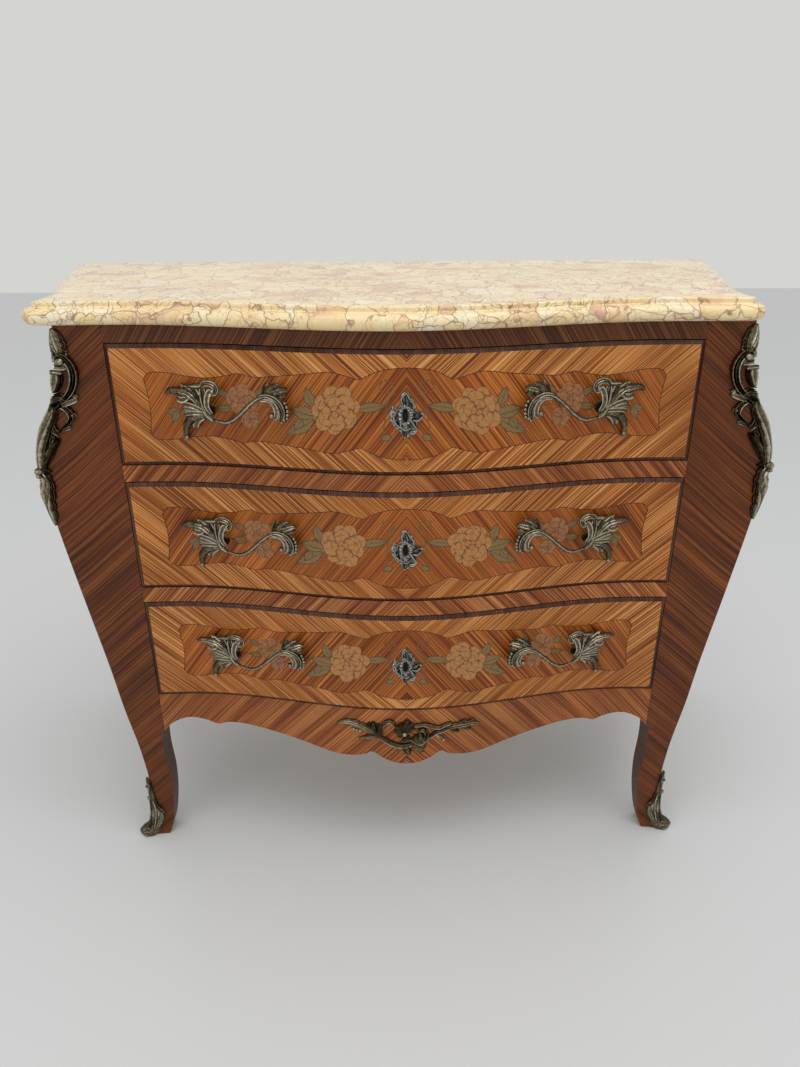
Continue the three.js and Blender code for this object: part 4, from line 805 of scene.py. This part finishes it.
# Fronds are kind, half width, heights at root, middle and tip, lobes, and the line; beads are across, up,
# radius and height. Lengths are hundredths of the span, heights are shares of how far the casting stands proud
handle = {
    "span": 168 * mm, "proud": 27 * mm, "x": 230 * mm, "drop": 4 * mm,
    # the posts into the drawer's front: places, then heights and radii up the post
    "posts": ((-15, 1), (42, 5)), "postRadius": 7 * mm, "postColumns": 18, "postShade": 0.2,
    "postRings": ((0.5, 0.8), (0.3, 0.8), (0.12, 0.95), (0.02, 1.3)),
    "fronds": [
        ("round", 1.7, (0.45, 1, 0.88), 0,
         [(-14, -3.5), (-9, -5), (-4, -5.3), (1, -4.8), (6, -2.4), (11, 1.6), (16, 6.4), (21, 11), (26, 14.8),
          (30, 16.3)]),
        ("round", 2.5, (0.5, 0.6, 0.62), -0.1, [(-18.5, 2), (-15, -2), (-10.5, -5.2)]),
        ("band", 2.9, (0.86, 0.68, 0.42), 0,
         [(26, 14), (29, 15.8), (33.5, 16), (38, 14), (41.5, 10.4), (43.2, 5.6), (43.2, 1), (41.6, -3)]),
        ("lobe", 1.9, (0.8, 0.72, 0.6), 0,
         [(28, 13.6), (33.5, 13.8), (37, 11.8), (39, 8), (39.6, 4), (38.7, 0.2), (36.4, -1.8)]),
        ("leaf", 3.8, (0.45, 0.52, 0.3), 0.12,
         [(-16, 0.5), (-20.3, 5.8), (-25.2, 11.9), (-30.2, 15.6), (-36.2, 16.6), (-42.9, 16.2), (-49, 13.2)]),
        ("leaf", 3.2, (0.42, 0.46, 0.34), 0, [(-20.7, 9), (-25.5, 15.4), (-30.6, 19), (-34.6, 21.2)]),
        ("lobe", 2.4, (0.48, 0.5, 0.4), 0, [(-18.8, 5.1), (-20.9, 11.3), (-23.1, 15.9), (-25.5, 18.9)]),
        ("band", 3.4, (0.5, 0.52, 0.5), 0,
         [(-12.9, -1.7), (-15.1, 3.7), (-16.5, 9.2), (-17.1, 14.6), (-17.4, 19.3)]),
        ("lobe", 2.3, (0.56, 0.6, 0.5), 0,
         [(-11.7, 0), (-14.3, 4.9), (-14.5, 9.6), (-13.4, 14), (-11.4, 17.1), (-9.1, 15.8)]),
        ("band", 2.7, (0.46, 0.56, 0.6), 0,
         [(-18.8, 19.6), (-16.2, 22.5), (-11.9, 23.5), (-7.8, 22), (-6.4, 18.9), (-8.2, 16.2), (-10, 16.5)]),
        ("round", 2.2, (0.4, 0.46, 0.46), 0, [(-28.5, 19.8), (-24, 20.4), (-18.6, 20.8)]),
        ("lobe", 2.8, (0.4, 0.4, 0.28), 0.2, [(-29.9, 10.9), (-34.9, 9.2), (-39.5, 10.2)]),
        ("lobe", 2.1, (0.48, 0.55, 0.32), 0, [(-17, 0.8), (-22.9, 4), (-29, 5.8), (-34.8, 5.6)]),
        ("lobe", 1.6, (0.44, 0.5, 0.28), 0, [(-17, 0), (-23.9, 2.1), (-30.2, 2.6), (-36.1, 1.8)]),
        ("lobe", 1.9, (0.48, 0.54, 0.32), 0, [(-17, -0.6), (-24.1, 0), (-29.7, -0.5), (-35.4, -2.6)]),
        ("leaf", 3.5, (0.46, 0.46, 0.24), 0.15,
         [(-17.5, -2.7), (-23.9, -3.2), (-28.8, -5.6), (-32.7, -10.6), (-34.2, -16.3), (-35, -22.4)]),
        ("lobe", 2.6, (0.46, 0.42, 0.26), 0, [(-18.7, -3.9), (-22.5, -5.7), (-25.4, -9.1), (-26.6, -13.7)]),
        ("leaf", 2.7, (0.6, 0.55, 0.42), 0, [(30, 15.5), (31.8, 19.3), (34, 26)]),
        ("leaf", 3.7, (0.66, 0.6, 0.42), 0.1, [(29.9, 16.9), (34.2, 19.9), (38.3, 22.8), (41.4, 24.7)]),
        ("leaf", 3.5, (0.62, 0.56, 0.38), 0.1, [(35.6, 18.4), (41.2, 20.2), (46, 21), (48.2, 19.8)]),
        ("leaf", 2.8, (0.58, 0.5, 0.36), 0, [(40, 16.6), (44.1, 17.4), (46.9, 15.6)]),
    ],
    "beads": [
        (35.4, 1.1, 2.3, 0.62), (-9.6, 17.5, 1.7, 0.56), (-34.8, -21.5, 2.2, 0.26), (41.2, 24.6, 1.2, 0.45),
        (45.8, 11, 1.7, 0.52), (47, 8, 1.7, 0.5), (47.5, 4.8, 1.7, 0.48), (47.4, 1.8, 1.7, 0.47),
        (47, -1.2, 1.7, 0.45), (44.4, -2.6, 1.7, 0.42), (42.4, -4.6, 1.6, 0.4)
    ],
}


def makeHandle(row):
    body = "drawer_" + str(row + 1)
    middle = chest["keyholes"][row] - handle["drop"]
    span = handle["span"] / 100
    postX = [across * span - handle["x"] for across, _ in handle["posts"]]
    postY = faceY(np.array(postX))
    slope = (postY[1] - postY[0]) / (postX[1] - postX[0])
    def place(x, out, up):
        along = x - handle["x"]
        y = postY[0] + slope * (along - postX[0]) - out
        return spots(along, y, middle + up)
    parts = relief(handle, place, False)
    a = 2 * np.pi * np.arange(handle["postColumns"]) / handle["postColumns"]
    for across, up in handle["posts"]:
        rings = [place(across * span + handle["postRadius"] * r * np.cos(a), h * handle["proud"],
                       up * span + handle["postRadius"] * r * np.sin(a)) for h, r in handle["postRings"]]
        parts.append((np.stack(rings), handle["postShade"]))
    castPair(body + "_handle_cast", body + "_handle", parts, body, ("_left", "_right"))


mount = {
    "span": 266 * mm, "proud": 14 * mm, "drop": 4 * mm, "wrap": 12 * mm, "side": 0.75,
    "ridge": [      # along the corner itself
        ("lobe", 1.6, (0.45, 0.55, 0.4), 0, [(-1, -17.6), (2, -18), (5, -17.6)]),
        ("round", 1.2, (0.5, 0.6, 0.5), 0, [(-1.6, -20.4), (1.2, -20), (3.4, -20.6)]),
        ("leaf", 2.7, (0.6, 0.75, 0.5), 0, [(0.8, -19.5), (0.6, -23), (0.2, -27), (-0.1, -30.5)]),
        ("leaf", 2.6, (0.5, 0.6, 0.5), 0, [(5, -34.5), (2, -33), (-0.5, -35), (-1, -40)]),
        ("leaf", 4.8, (0.55, 0.95, 0.6), 0.1,
         [(0, -70), (-0.3, -64), (-0.6, -58), (-0.2, -51), (0.3, -44), (1, -37)]),
        ("leaf", 3.9, (0.5, 0.7, 0.2), 0.25,
         [(0.6, -72), (2.2, -76), (1.6, -81), (0.4, -86), (-0.1, -91), (0, -96), (0, -101)]),
    ],
    "fronds": [     # on the front, and again round on the side
        ("leaf", 3.4, (0.5, 0.5, 0.2), 0.15, [(3.2, -13), (3, -9), (2.2, -5), (1, 0)]),
        ("lobe", 1.3, (0.55, 0.5, 0.3), 0, [(1, -10.5), (3.4, -9), (6, -9.8)]),
        ("lobe", 1.2, (0.55, 0.5, 0.3), 0, [(1.4, -12.4), (3.8, -11), (6.2, -11.6)]),
        ("band", 2.2, (0.5, 0.66, 0.45), 0,
         [(1.4, -15.6), (1.7, -13.9), (3.5, -13), (5.4, -14.6), (7.2, -17.4), (8.2, -20.6), (8.3, -23.8),
          (7.9, -27), (6.8, -30.3), (5, -33.2), (3.2, -35.3)]),
        ("lobe", 1.4, (0.5, 0.6, 0.3), 0, [(4, -36.8), (7.4, -35.3), (9.3, -34.5), (11, -33.7)]),
        ("lobe", 0.8, (0.45, 0.5, 0.3), 0, [(8, -31.8), (9.6, -32), (10.8, -33.2)]),
        ("band", 1.6, (0.5, 0.6, 0.5), 0,
         [(4, -36.8), (2.9, -37.6), (1.8, -40.3), (1.6, -43.3), (2.2, -46.1), (4, -48.8), (7, -51.3)]),
        ("band", 1.5, (0.5, 0.6, 0.45), 0,
         [(4.1, -37.2), (6.8, -38.4), (9.2, -40.5), (10.6, -43), (10, -45.6), (8.6, -47.6), (7.2, -49.8)]),
        ("lobe", 0.9, (0.45, 0.55, 0.3), 0, [(9.8, -41), (11.2, -41.4), (12.4, -42.6)]),
        ("lobe", 1.0, (0.45, 0.55, 0.3), 0, [(8, -49.4), (10.3, -48.4), (12.2, -48)]),
        ("leaf", 3.3, (0.5, 0.72, 0.5), 0.1, [(1.6, -68), (2.6, -64), (3.8, -60.5), (5.6, -57), (8, -53.6)]),
        ("lobe", 2.0, (0.6, 0.8, 0.6), 0, [(1.2, -66), (1.8, -60), (3, -55), (5, -52)]),
        ("lobe", 0.9, (0.6, 0.75, 0.6), 0, [(2.4, -66), (3.6, -61.5), (5.2, -58), (7.4, -55)]),
        ("leaf", 1.0, (0.5, 0.5, 0.3), 0, [(1.6, -67.5), (2.4, -70), (4.8, -71.4)]),
        ("lobe", 1.0, (0.6, 0.8, 0.5), 0, [(3.4, -73), (1, -75), (0.4, -79), (1, -84), (0.6, -90)]),
    ],
    "beads": [(3.1, -15, 1.9, 0.5), (0, -70.5, 1.8, 0.5), (-0.2, -73, 1.4, 0.48)],
}


def cornerPlace(x, out, up):
    # across runs over the front face and, where negative, back over the side; out turns round the corner
    z = chest["height"] - mount["drop"] + up
    turn = np.clip(x / mount["wrap"] + 0.5, 0, 1) * np.pi / 2
    y = cornerY + np.maximum(-x, 0)
    side = sideX(y, z) - np.maximum(x, 0)
    return spots(side + out * np.cos(turn), y - out * np.sin(turn), z)


def sidePlace(x, out, up):
    return cornerPlace(-x * mount["side"], out, up)


def makeCornerMounts():
    parts = [frond(row, mount, cornerPlace) for row in mount["ridge"]]
    for place in (cornerPlace, sidePlace):
        parts += [frond(row, mount, place) for row in mount["fronds"]]
    parts += [bead(row, mount, cornerPlace) for row in mount["beads"]]
    castPair("corner_cast", "corner_mount", parts)


apronCast = {
    "span": 222 * mm, "proud": 11 * mm, "z": 236 * mm,
    "fronds": [
        ("leaf", 2.8, (0.65, 0.6, 0.25), 0.25,
         [(-18, -1), (-23, 2.7), (-28, 5.2), (-32.5, 7.6), (-38, 9.2), (-43, 9.1), (-47.5, 7)]),
        ("lobe", 1.1, (0.75, 0.8, 0.35), 0,
         [(-18, -1), (-23, 2.7), (-28, 5.2), (-32.5, 7.6), (-38, 9.2), (-43, 9.1), (-47.5, 7)]),
        ("leaf", 2.0, (0.5, 0.45, 0.25), 0.2, [(-17, -1.5), (-21, -1.3), (-27, -2.7), (-33, -4.2)]),
        ("leaf", 2.2, (0.55, 0.6, 0.3), 0.15, [(-21.5, 1.5), (-23, 7), (-22.4, 11)]),
        ("leaf", 1.8, (0.5, 0.55, 0.3), 0.1, [(-19, 1), (-18.6, 5.5), (-20.4, 9.4)]),
        ("leaf", 1.5, (0.5, 0.55, 0.3), 0, [(-24.5, 3.5), (-26, 7.5), (-25.5, 10.2)]),
        ("band", 1.4, (0.5, 0.6, 0.5), 0,
         [(-16.8, 0.6), (-17.4, 5.6), (-15.5, 9.7), (-12.2, 11.6), (-9, 10.2), (-7.3, 7.2)]),
        ("band", 1.8, (0.6, 0.7, 0.5), 0,
         [(-19, -1.5), (-14.3, -4.4), (-9.8, -7.2), (-4.5, -9.1), (0.8, -8.6), (6, -6.6)]),
        ("leaf", 2.8, (0.8, 0.95, 0.4), 0.2, [(-2, 3.5), (-0.4, 8), (1.5, 12.6)]),
        ("leaf", 2.4, (0.8, 0.9, 0.4), 0.2, [(-2, 3.5), (-3.4, 7), (-4.5, 10.6)]),
        ("leaf", 2.2, (0.8, 0.85, 0.4), 0.2, [(-2, 3.5), (-5, 5.6), (-8.2, 7.4)]),
        ("leaf", 2.0, (0.8, 0.8, 0.4), 0.2, [(-2, 3.5), (-5, 3.4), (-8.6, 3)]),
        ("leaf", 2.0, (0.8, 0.8, 0.4), 0.2, [(-2, 3.5), (-4, 1), (-6, -1.6)]),
        ("leaf", 2.2, (0.8, 0.9, 0.4), 0.2, [(-2, 3.5), (1.2, 7), (4.6, 10)]),
        ("leaf", 2.0, (0.8, 0.85, 0.4), 0.2, [(-2, 3.5), (1.8, 4.8), (6, 5.5)]),
        ("band", 1.5, (0.6, 0.8, 0.6), 0,
         [(3, -3), (4.6, -4.3), (9.2, -6.5), (12.8, -3.3), (13.7, 0.9), (11.6, 4.4), (8, 4)]),
        ("leaf", 3.0, (0.65, 0.65, 0.25), 0.2, [(-0.5, -8), (0.5, -13), (1.2, -17.5)]),
        ("leaf", 2.2, (0.6, 0.6, 0.25), 0.2, [(-2, -8), (-4.4, -10.5), (-6, -12.8)]),
        ("leaf", 2.6, (0.6, 0.6, 0.25), 0.2, [(3.5, -7.5), (8, -11), (11.4, -15)]),
        ("leaf", 2.0, (0.6, 0.6, 0.25), 0.2, [(6, -6), (10.5, -8), (13, -11)]),
        ("band", 1.4, (0.55, 0.6, 0.5), 0, [(5, 8), (12, 8.6), (17, 7), (22, 5.4), (26.6, 7.3), (31, 8.6)]),
        ("band", 1.3, (0.6, 0.6, 0.5), 0, [(12.2, -4.7), (16.7, -1.3), (20.5, 1.3), (25, 2.6), (30, 5)]),
        ("leaf", 2.6, (0.6, 0.65, 0.25), 0.35,
         [(27, 5), (31, 5.8), (36, 6.1), (41, 6.3), (46, 6.4), (50.5, 4.6)]),
        ("leaf", 1.5, (0.5, 0.6, 0.25), 0, [(34, 6), (37.6, 7.6), (41, 10.2)]),
        ("leaf", 1.5, (0.5, 0.6, 0.25), 0, [(39.5, 6.3), (43.5, 7.8), (46.6, 10)]),
        ("leaf", 1.6, (0.5, 0.6, 0.25), 0, [(36, 5.4), (40, 3.6), (44.6, 1.4)]),
        ("leaf", 1.5, (0.5, 0.6, 0.25), 0, [(30, 4.6), (33, 2.2), (36.4, 0.6)]),
        ("leaf", 3.4, (0.45, 0.6, 0.3), 0.25, [(9, 2), (9.8, -4), (10.4, -9), (9, -15)]),
        ("leaf", 2.6, (0.45, 0.55, 0.3), 0.2, [(6.6, 0), (6, -4), (3.4, -7)]),
        ("leaf", 2.2, (0.45, 0.6, 0.25), 0.2, [(1.5, -1), (-1, -4), (-3.5, -6)]),
        ("lobe", 1.1, (0.75, 0.8, 0.35), 0, [(27, 5), (31, 5.8), (36, 6.1), (41, 6.3), (46, 6.4), (50.5, 4.6)]),
        ("lobe", 1.0, (0.5, 0.5, 0.3), 0, [(20.5, 2), (21.6, -1.5), (24.6, -3.6)]),
    ],
    "beads": [
        (-1.5, 3.5, 1.8, 0.85), (25.4, -4.4, 1.3, 0.4), (-36.5, 4.4, 1.1, 0.4), (-34.3, 4.1, 1.1, 0.4),
        (-32, 3.6, 1.1, 0.4)
    ],
}


def makeApronMount():
    def place(x, out, up):
        return spots(x, frontY(x) - out, apronCast["z"] + up)
    castPiece("apron_cast", relief(apronCast, place), apronBronzePaintedLighter, "carcase", ["apron_mount"])


plate = {
    "span": 100 * mm, "proud": 2.6 * mm, "floor": 1.6 * mm, "keyhole": (2.3 * mm, 8 * mm),
    "keyholeAcross": -1.6 * mm, "columns": 160, "shadowColumns": 25, "shadowOut": 0.05 * mm, "ripple": 0.4 * mm,
    # rings from the rim to the keyhole: share of the outline, or radius in half keyholes, height in mm, shade
    "rings": [
        (1, 0, 0.02, 0.1), (1, 0, 1.12, 0.5), (0.97, 0, 1.6, 0.8), (0.9, 0, 1.44, 0.2), (0, 4.2, 1.6, 0.15),
        (0, 3.5, 2.9, 0.6), (0, 2.8, 3.42, 0.6), (0, 2, 2.9, 0.3), (0, 1.4, 2.12, 0.1), (0, 1.05, 1.6, 0),
        (0, 1, 0.1, 0)
    ],
    # outline round from the top, across and up in mm
    "outline": [
        (-1, 31), (-5.5, 27.7), (-7.6, 22), (-7.2, 17.7), (-5.5, 14.2), (-9, 10.7), (-12.4, 9.2), (-14.5, 7.5),
        (-15.9, 10.7), (-17.6, 12.2), (-19.7, 7.1), (-20.7, 1.4), (-20.7, -4.4), (-18.3, -10.1), (-14.5, -15.8),
        (-10.3, -19.4), (-7.2, -22.3), (-5.5, -26.6), (-3, -31), (-0.7, -29.5), (3.4, -27.3), (5.5, -24.4),
        (9.7, -24.8), (13.8, -20.1), (13.8, -15.1), (13.1, -10.8), (15.9, -6.5), (20, -3.7), (22.1, 0.6),
        (20.7, 4.2), (17.9, 6.4), (15.2, 4.2), (11.7, 2), (9.7, 3.5), (11, 7.1), (11.7, 12.1), (9.7, 17.1),
        (6.2, 22.1), (2.8, 27.8)
    ],
    "fronds": [     # in mm, standing on the plate
        ("round", 1.3, (0.6, 0.7, 0.5), -0.12, [(-13, 6.8), (-8, 8.5), (-3, 10.3), (2, 10.6), (6, 8), (8, 4)]),
        ("round", 1.5, (0.6, 0.7, 0.5), 0, [(-4.8, 14.3), (-6.9, 19.3), (-4.8, 25), (-0.7, 27.9)]),
        ("round", 1.4, (0.6, 0.7, 0.5), -0.12, [(8.3, 7), (9, 14), (4.1, 21.4), (-1, 30)]),
        ("leaf", 2.8, (0.6, 0.9, 0.4), 0.2, [(0.6, 11.4), (1, 17), (-1, 25)]),
        ("round", 1.5, (0.6, 0.7, 0.5), -0.12, [(-12, 6), (-16, 0), (-15, -8), (-10, -14), (-4, -18)]),
        ("lobe", 1.5, (0.6, 0.7, 0.4), 0, [(-13, 4), (-16.6, 5.4), (-20, 6)]),
        ("lobe", 1.5, (0.6, 0.7, 0.4), 0, [(-14, 0), (-17, -0.4), (-20, -1)]),
        ("lobe", 1.4, (0.6, 0.7, 0.4), 0, [(-13, -6), (-15.6, -7.4), (-18, -8)]),
        ("leaf", 5.0, (0.6, 0.9, 0.4), 0.1, [(-1, -9.4), (-1.6, -14), (-2, -20)]),
        ("round", 1.3, (0.6, 0.7, 0.5), 0, [(-8, -8), (-7, -15), (-1, -19), (5, -16)]),
        ("round", 1.6, (0.6, 0.8, 0.5), 0, [(3, -2), (8, -10), (13, -18)]),
        ("leaf", 2.0, (0.6, 0.8, 0.4), 0, [(8, -1.5), (11, -1), (18, 4)]),
        ("round", 1.6, (0.6, 0.8, 0.5), 0, [(8, -6), (15, -6), (20, -1.5)]),
        ("leaf", 2.4, (0.6, 0.8, 0.4), 0.15, [(-1, -20), (-1.6, -25), (-2, -30)]),
        ("lobe", 2.0, (0.6, 0.8, 0.4), 0, [(4, -22), (7.6, -22.6), (11, -22)]),
    ],
    "beads": [(-17.4, 9, 1.6, 0.5), (-0.8, 28.8, 1.5, 0.5), (19.4, 3.2, 1.7, 0.5), (-2.4, -28.6, 1.4, 0.5)],
}


def makeEscutcheon(row):
    # a thin plate with a chamfered rim, then a collar rising round the keyhole and falling into it
    body = "drawer_" + str(row + 1)
    middle = chest["keyholes"][row]
    outline = np.stack(course(plate["outline"] + plate["outline"][:1], plate["columns"] + 1)[:2]) * mm
    x, z = outline[:, :-1]
    keyX, keyZ = plate["keyhole"]
    shift = plate["keyholeAcross"]
    turn = np.unwrap(np.arctan2(z, x - shift))
    def place(across, out, up):
        return spots(across, faceY(across) - chest["veneer"] - out, middle + up)
    def onPlate(across, out, up):
        return place(across, plate["floor"] + out, up)
    rings, tones = [], []
    for rim, radius, out, tone in plate["rings"]:
        uneven = 1 + (0.1 * np.cos(3 * turn + 1) + 0.07 * np.sin(5 * turn)) * (radius > 1.2)
        sx = x * rim if rim else shift + keyX * radius * uneven * np.cos(turn)
        sz = z * rim if rim else (keyZ + (radius * uneven - 1) * keyX * 0.75) * np.sin(turn)
        ripple = np.sin(17 * turn + 2 * np.sin(3 * turn)) * (0.86 < rim < 0.99 or 2 < radius < 4)
        rings.append(place(sx, out * mm + plate["ripple"] * ripple, sz))
        # the tones are tarnish with painted light: a painted highlight on the crests and painted shade where
        # the collar falls into the keyhole
        tones.append(np.clip(tone + 0.35 * ripple, 0, 1))
    makePiece(body + "_escutcheon_plate", [np.stack(rings)], silvered, body, [body + "_escutcheon"],
              True, False, castWork["crease"], [np.stack(tones)])
    castPiece(body + "_escutcheon_relief", relief(plate, onPlate), silvered, body)
    # a near black disc on the face over the keyhole: painted shadow in the hole
    a = np.linspace(0, 2 * np.pi, plate["shadowColumns"])
    level = faceY(0) - chest["veneer"] - plate["shadowOut"]
    disc = [spots(shift + r * keyX * np.cos(a), level, middle + r * keyZ * np.sin(a)) for r in (0.02, 1.1)]
    makePiece(body + "_keyhole_shadow", [np.stack(disc)], keyholeShadow, body)


shoe = {
    "span": 122 * mm, "proud": 4 * mm, "rows": 76, "columns": 57, "reliefShare": 0.7,
    # ribs like a leaf's: their height, how close they are, where they start and how far they go up
    "ribHeight": 0.12, "ribTurn": 7, "ribFrom": 0.05, "ribReach": 0.6,
    # level, share of the leg it wraps, thickness at the side and in front
    "levels": [
        (0, 0.28, 2.2, 0.8), (0.04, 0.36, 3.6, 1.1), (0.1, 0.42, 4.6, 1.2), (0.16, 0.46, 3.6, 1),
        (0.21, 0.49, 1.8, 0.9), (0.3, 0.55, 1.2, 0.9), (0.38, 0.57, 1, 0.8), (0.45, 0.42, 1, 0.8),
        (0.52, 0.27, 1, 0.8), (0.62, 0.17, 1.2, 0.8), (0.66, 0.15, 1.3, 0.9), (0.7, 0.12, 0.6, 0.6),
        (0.78, 0.1, 0.9, 0.7), (0.86, 0.1, 1.2, 0.8), (0.94, 0.06, 1, 0.6), (1, 0.03, 0.5, 0.4)
    ],
    "section": [
        (-1, 0, 0, -0.25), (-0.5, 0, 0, -0.8), (0, 0, 0, -1), (0, 0.8, 0, -0.6), (0, 1, 0.2, 0),
        (0, 0.7, 0.6, 0), (0, 0.25, 1, 0), (-0.2, 0, 1, 0), (-1, 0, 0.5, 0)
    ],
    "fronds": [
        ("round", 3.0, (0.5, 1.4, 0.5), 0, [(-14, 4), (-8, 3.6), (-3, 3.4), (1.5, 3.6)]),
        ("round", 3.0, (0.5, 1.4, 0.5), 0, [(-13, 9.6), (-8, 9.2), (-3, 9), (1.5, 9.4)]),
        ("round", 2.6, (0.5, 1.2, 0.5), 0, [(-11, 15), (-7, 14.6), (-3, 14.6), (1, 15)]),
        ("leaf", 4.0, (0.3, 0.4, 0.15), 0.15, [(7, 12), (10, 22), (13, 32), (12, 42)]),
        ("lobe", 2.0, (0.3, 0.4, 0.2), 0, [(3, 8), (3.4, 22), (3.8, 38), (2.8, 52), (1, 63)]),
        ("leaf", 4.0, (0.5, 0.6, 0.2), 0.15, [(-7, 16), (-9, 24), (-12, 33), (-11, 42)]),
        ("leaf", 1.8, (0.4, 0.5, 0.3), 0, [(0.6, 68), (-0.4, 76), (1, 84), (0, 92), (0, 99)]),
    ],
    "beads": [(0, 86, 1.8, 0.6), (0, 66.4, 2.4, 0.5)],
}


def makeSabots():
    # the section of the shoe carried up the corner of the leg
    t = np.linspace(0, 1, shoe["rows"])
    levels, section = np.array(shoe["levels"]), np.array(shoe["section"])
    wrap, side, front = (follow(list(zip(levels[:, 0], levels[:, k])))(t)[:, None] for k in (1, 2, 3))
    at = np.linspace(0, len(section) - 1, shoe["columns"])
    across, sideWall, back, frontWall = (follow(list(enumerate(column)))(at) for column in section.T)
    z = (t * shoe["span"])[:, None]
    corner = sideX(cornerY, z)
    reach = (corner - chest["openingHalf"] - legInner(z)) * wrap
    fading = np.sin(np.pi * np.clip((t - shoe["ribFrom"]) / shoe["ribReach"], 0, 1))[:, None]
    ribs = 1 + shoe["ribHeight"] * np.cos(at * shoe["ribTurn"]) * fading
    x = corner + across * reach + sideWall * side * shoe["proud"] * ribs
    y = cornerY - toe(z) + back * legDepth(z) * wrap + frontWall * front * shoe["proud"] * ribs
    # rib crowns paler and the spaces between darker, with slow bands up the shoe: patina with a painted
    # highlight and painted shade
    tone = np.clip(0.35 + 2.2 * (ribs - 1) + 0.2 * np.sin(20 * t)[:, None], 0.05, 1)
    def place(over, out, up):
        # relief on the shoe, round the corner as on the corner mounts
        high = np.clip(up, 0.5 * mm, shoe["span"])
        turn = np.clip(over / mount["wrap"] + 0.5, 0, 1) * np.pi / 2
        lift = shoe["proud"] * shoe["reliefShare"] + out
        return spots(sideX(cornerY, high) - np.maximum(over, 0) + lift * np.cos(turn),
                     cornerY - toe(high) + np.maximum(-over, 0) - lift * np.sin(turn), high)
    body = spots(x, y, z)
    castPair("sabot_cast", "sabot", [(body, tone)] + relief(shoe, place))


# painted shadow of the keyhole: near black and matt
keyholeShadow, tree, shader = newMaterial("painted shadow in the keyhole")
feed(tree, shader, {"Base Color": linear("#0d0906"), "Roughness": 0.9})
for row in range(3):
    makeHandle(row)
    makeEscutcheon(row)
makeCornerMounts()
makeApronMount()
makeSabots()
print("cast fittings made")


def lookOf(name):
    # what a solid of the CAD is made of, where its own mesh shows
    if "lock" in name:
        return steel
    if "escutcheon" in name:
        return silvered
    if "handle" in name or "mount" in name or "sabot" in name:
        return bronze
    if name.endswith("_front"):
        return looks["edge"]
    if name.endswith("rail"):
        return darkTimber
    if name == "marble_top":
        return marble
    if name == "apron" or "stile" in name or "post" in name or "panel_r" in name or "panel_l" in name:
        return looks["carcase"]
    return dealSide if "_side_" in name or "runner" in name else deal


for name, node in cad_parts.items():
    materials = node.data.materials
    if not materials:
        materials.append(lookOf(name))
    for k in range(len(materials)):
        materials[k] = lookOf(name)

stage = {
    "floor": "#dadcdd", "floorHalf": 6.0, "floorRoughness": 0.55, "wall": "#d4d4d1", "light": "#f4f4f2",
    "sky": 0.78,
    # name, place, target, size in metres, power in watts
    "lamps": [("ceiling light", (0.3, -0.6, 2.6), (0, 0, 0.5), (2.4, 1.6), 20),
              ("room light", (-1.9, -2.4, 1.7), (0, 0, 0.45), (1.8, 1.6), 8)],
}


def addFloor():
    half = stage["floorHalf"]
    mesh = bpy.data.meshes.new("floor")
    corners = [(-half, -half, 0), (half, -half, 0), (half, half, 0), (-half, half, 0)]
    mesh.from_pydata(corners, [], [(0, 1, 2, 3)])
    material, tree, shader = newMaterial("pale floor")
    feed(tree, shader, {"Base Color": linear(stage["floor"]), "Roughness": stage["floorRoughness"]})
    mesh.materials.append(material)
    floor = bpy.data.objects.new("floor", mesh)
    bpy.context.scene.collection.objects.link(floor)


def addWorld():
    # the light of the sky, with the plain wall's colour where the camera sees it
    world = bpy.data.worlds.new("studio")
    bpy.context.scene.world = world
    world.use_nodes = True
    sky = world.node_tree
    background = sky.nodes["Background"]
    feed(sky, background, {"Strength": stage["sky"], "Color": linear(stage["light"])})
    seen = addNode(sky, "Background", {"Strength": 1.0, "Color": linear(stage["wall"])})
    ray = addNode(sky, "LightPath", {}, "Is Camera Ray")
    mixed = addNode(sky, "MixShader", {0: ray, 1: background.outputs[0], 2: seen})
    feed(sky, sky.nodes["World Output"], {"Surface": mixed})


def placed(right, up, back, place):
    # a matrix from three axes and a place
    axes = np.stack([right, up, back], 1).tolist()
    return Matrix([[*row, p] for row, p in zip(axes, place)] + [[0, 0, 0, 1]])


def addLamp(name, place, target, size, power):
    data = bpy.data.lights.new(name, "AREA")
    data.shape = "RECTANGLE"
    data.size, data.size_y = size
    data.energy = power
    lamp = bpy.data.objects.new(name, data)
    bpy.context.scene.collection.objects.link(lamp)
    away = np.array(place) - np.array(target)
    away = away / np.linalg.norm(away)
    right = np.cross((0, 0, 1), away)
    right = right / np.linalg.norm(right)
    lamp.matrix_world = placed(right, np.cross(away, right), away, place)


# The photograph's camera, fitted to the drawer edges: pixels of an 800 by 1067 picture, angles in degrees
view = {"place": (-0.0205, -1.1936, 1.03), "focal": 800.8, "down": 25.03, "yaw": -0.680, "roll": 0.254,
        "rows": 1067, "sensor": 24, "clip": 0.02}


def addCamera():
    down, yaw, roll = (math.radians(view[k]) for k in ("down", "yaw", "roll"))
    ahead = np.array([0, math.cos(down), -math.sin(down)])
    right = np.array([1.0, 0, 0])
    lower = np.cross(ahead, right)
    spin = np.array([[math.cos(yaw), -math.sin(yaw), 0], [math.sin(yaw), math.cos(yaw), 0], [0, 0, 1]])
    ahead, right, lower = spin @ ahead, spin @ right, spin @ lower
    right, lower = (math.cos(roll) * right + math.sin(roll) * lower,
                    math.cos(roll) * lower - math.sin(roll) * right)
    data = bpy.data.cameras.new("camera")
    data.sensor_fit = "VERTICAL"
    data.sensor_height = view["sensor"]
    data.lens = view["focal"] * view["sensor"] / view["rows"]
    data.clip_start = view["clip"]
    camera = bpy.data.objects.new("camera", data)
    bpy.context.scene.collection.objects.link(camera)
    camera.matrix_world = placed(right, -lower, -ahead, view["place"])
    bpy.context.scene.camera = camera


addFloor()
addWorld()
for lamp in stage["lamps"]:
    addLamp(*lamp)
addCamera()
bpy.context.scene.view_settings.view_transform = "Standard"
bpy.context.view_layer.update()
print("stage and camera made")
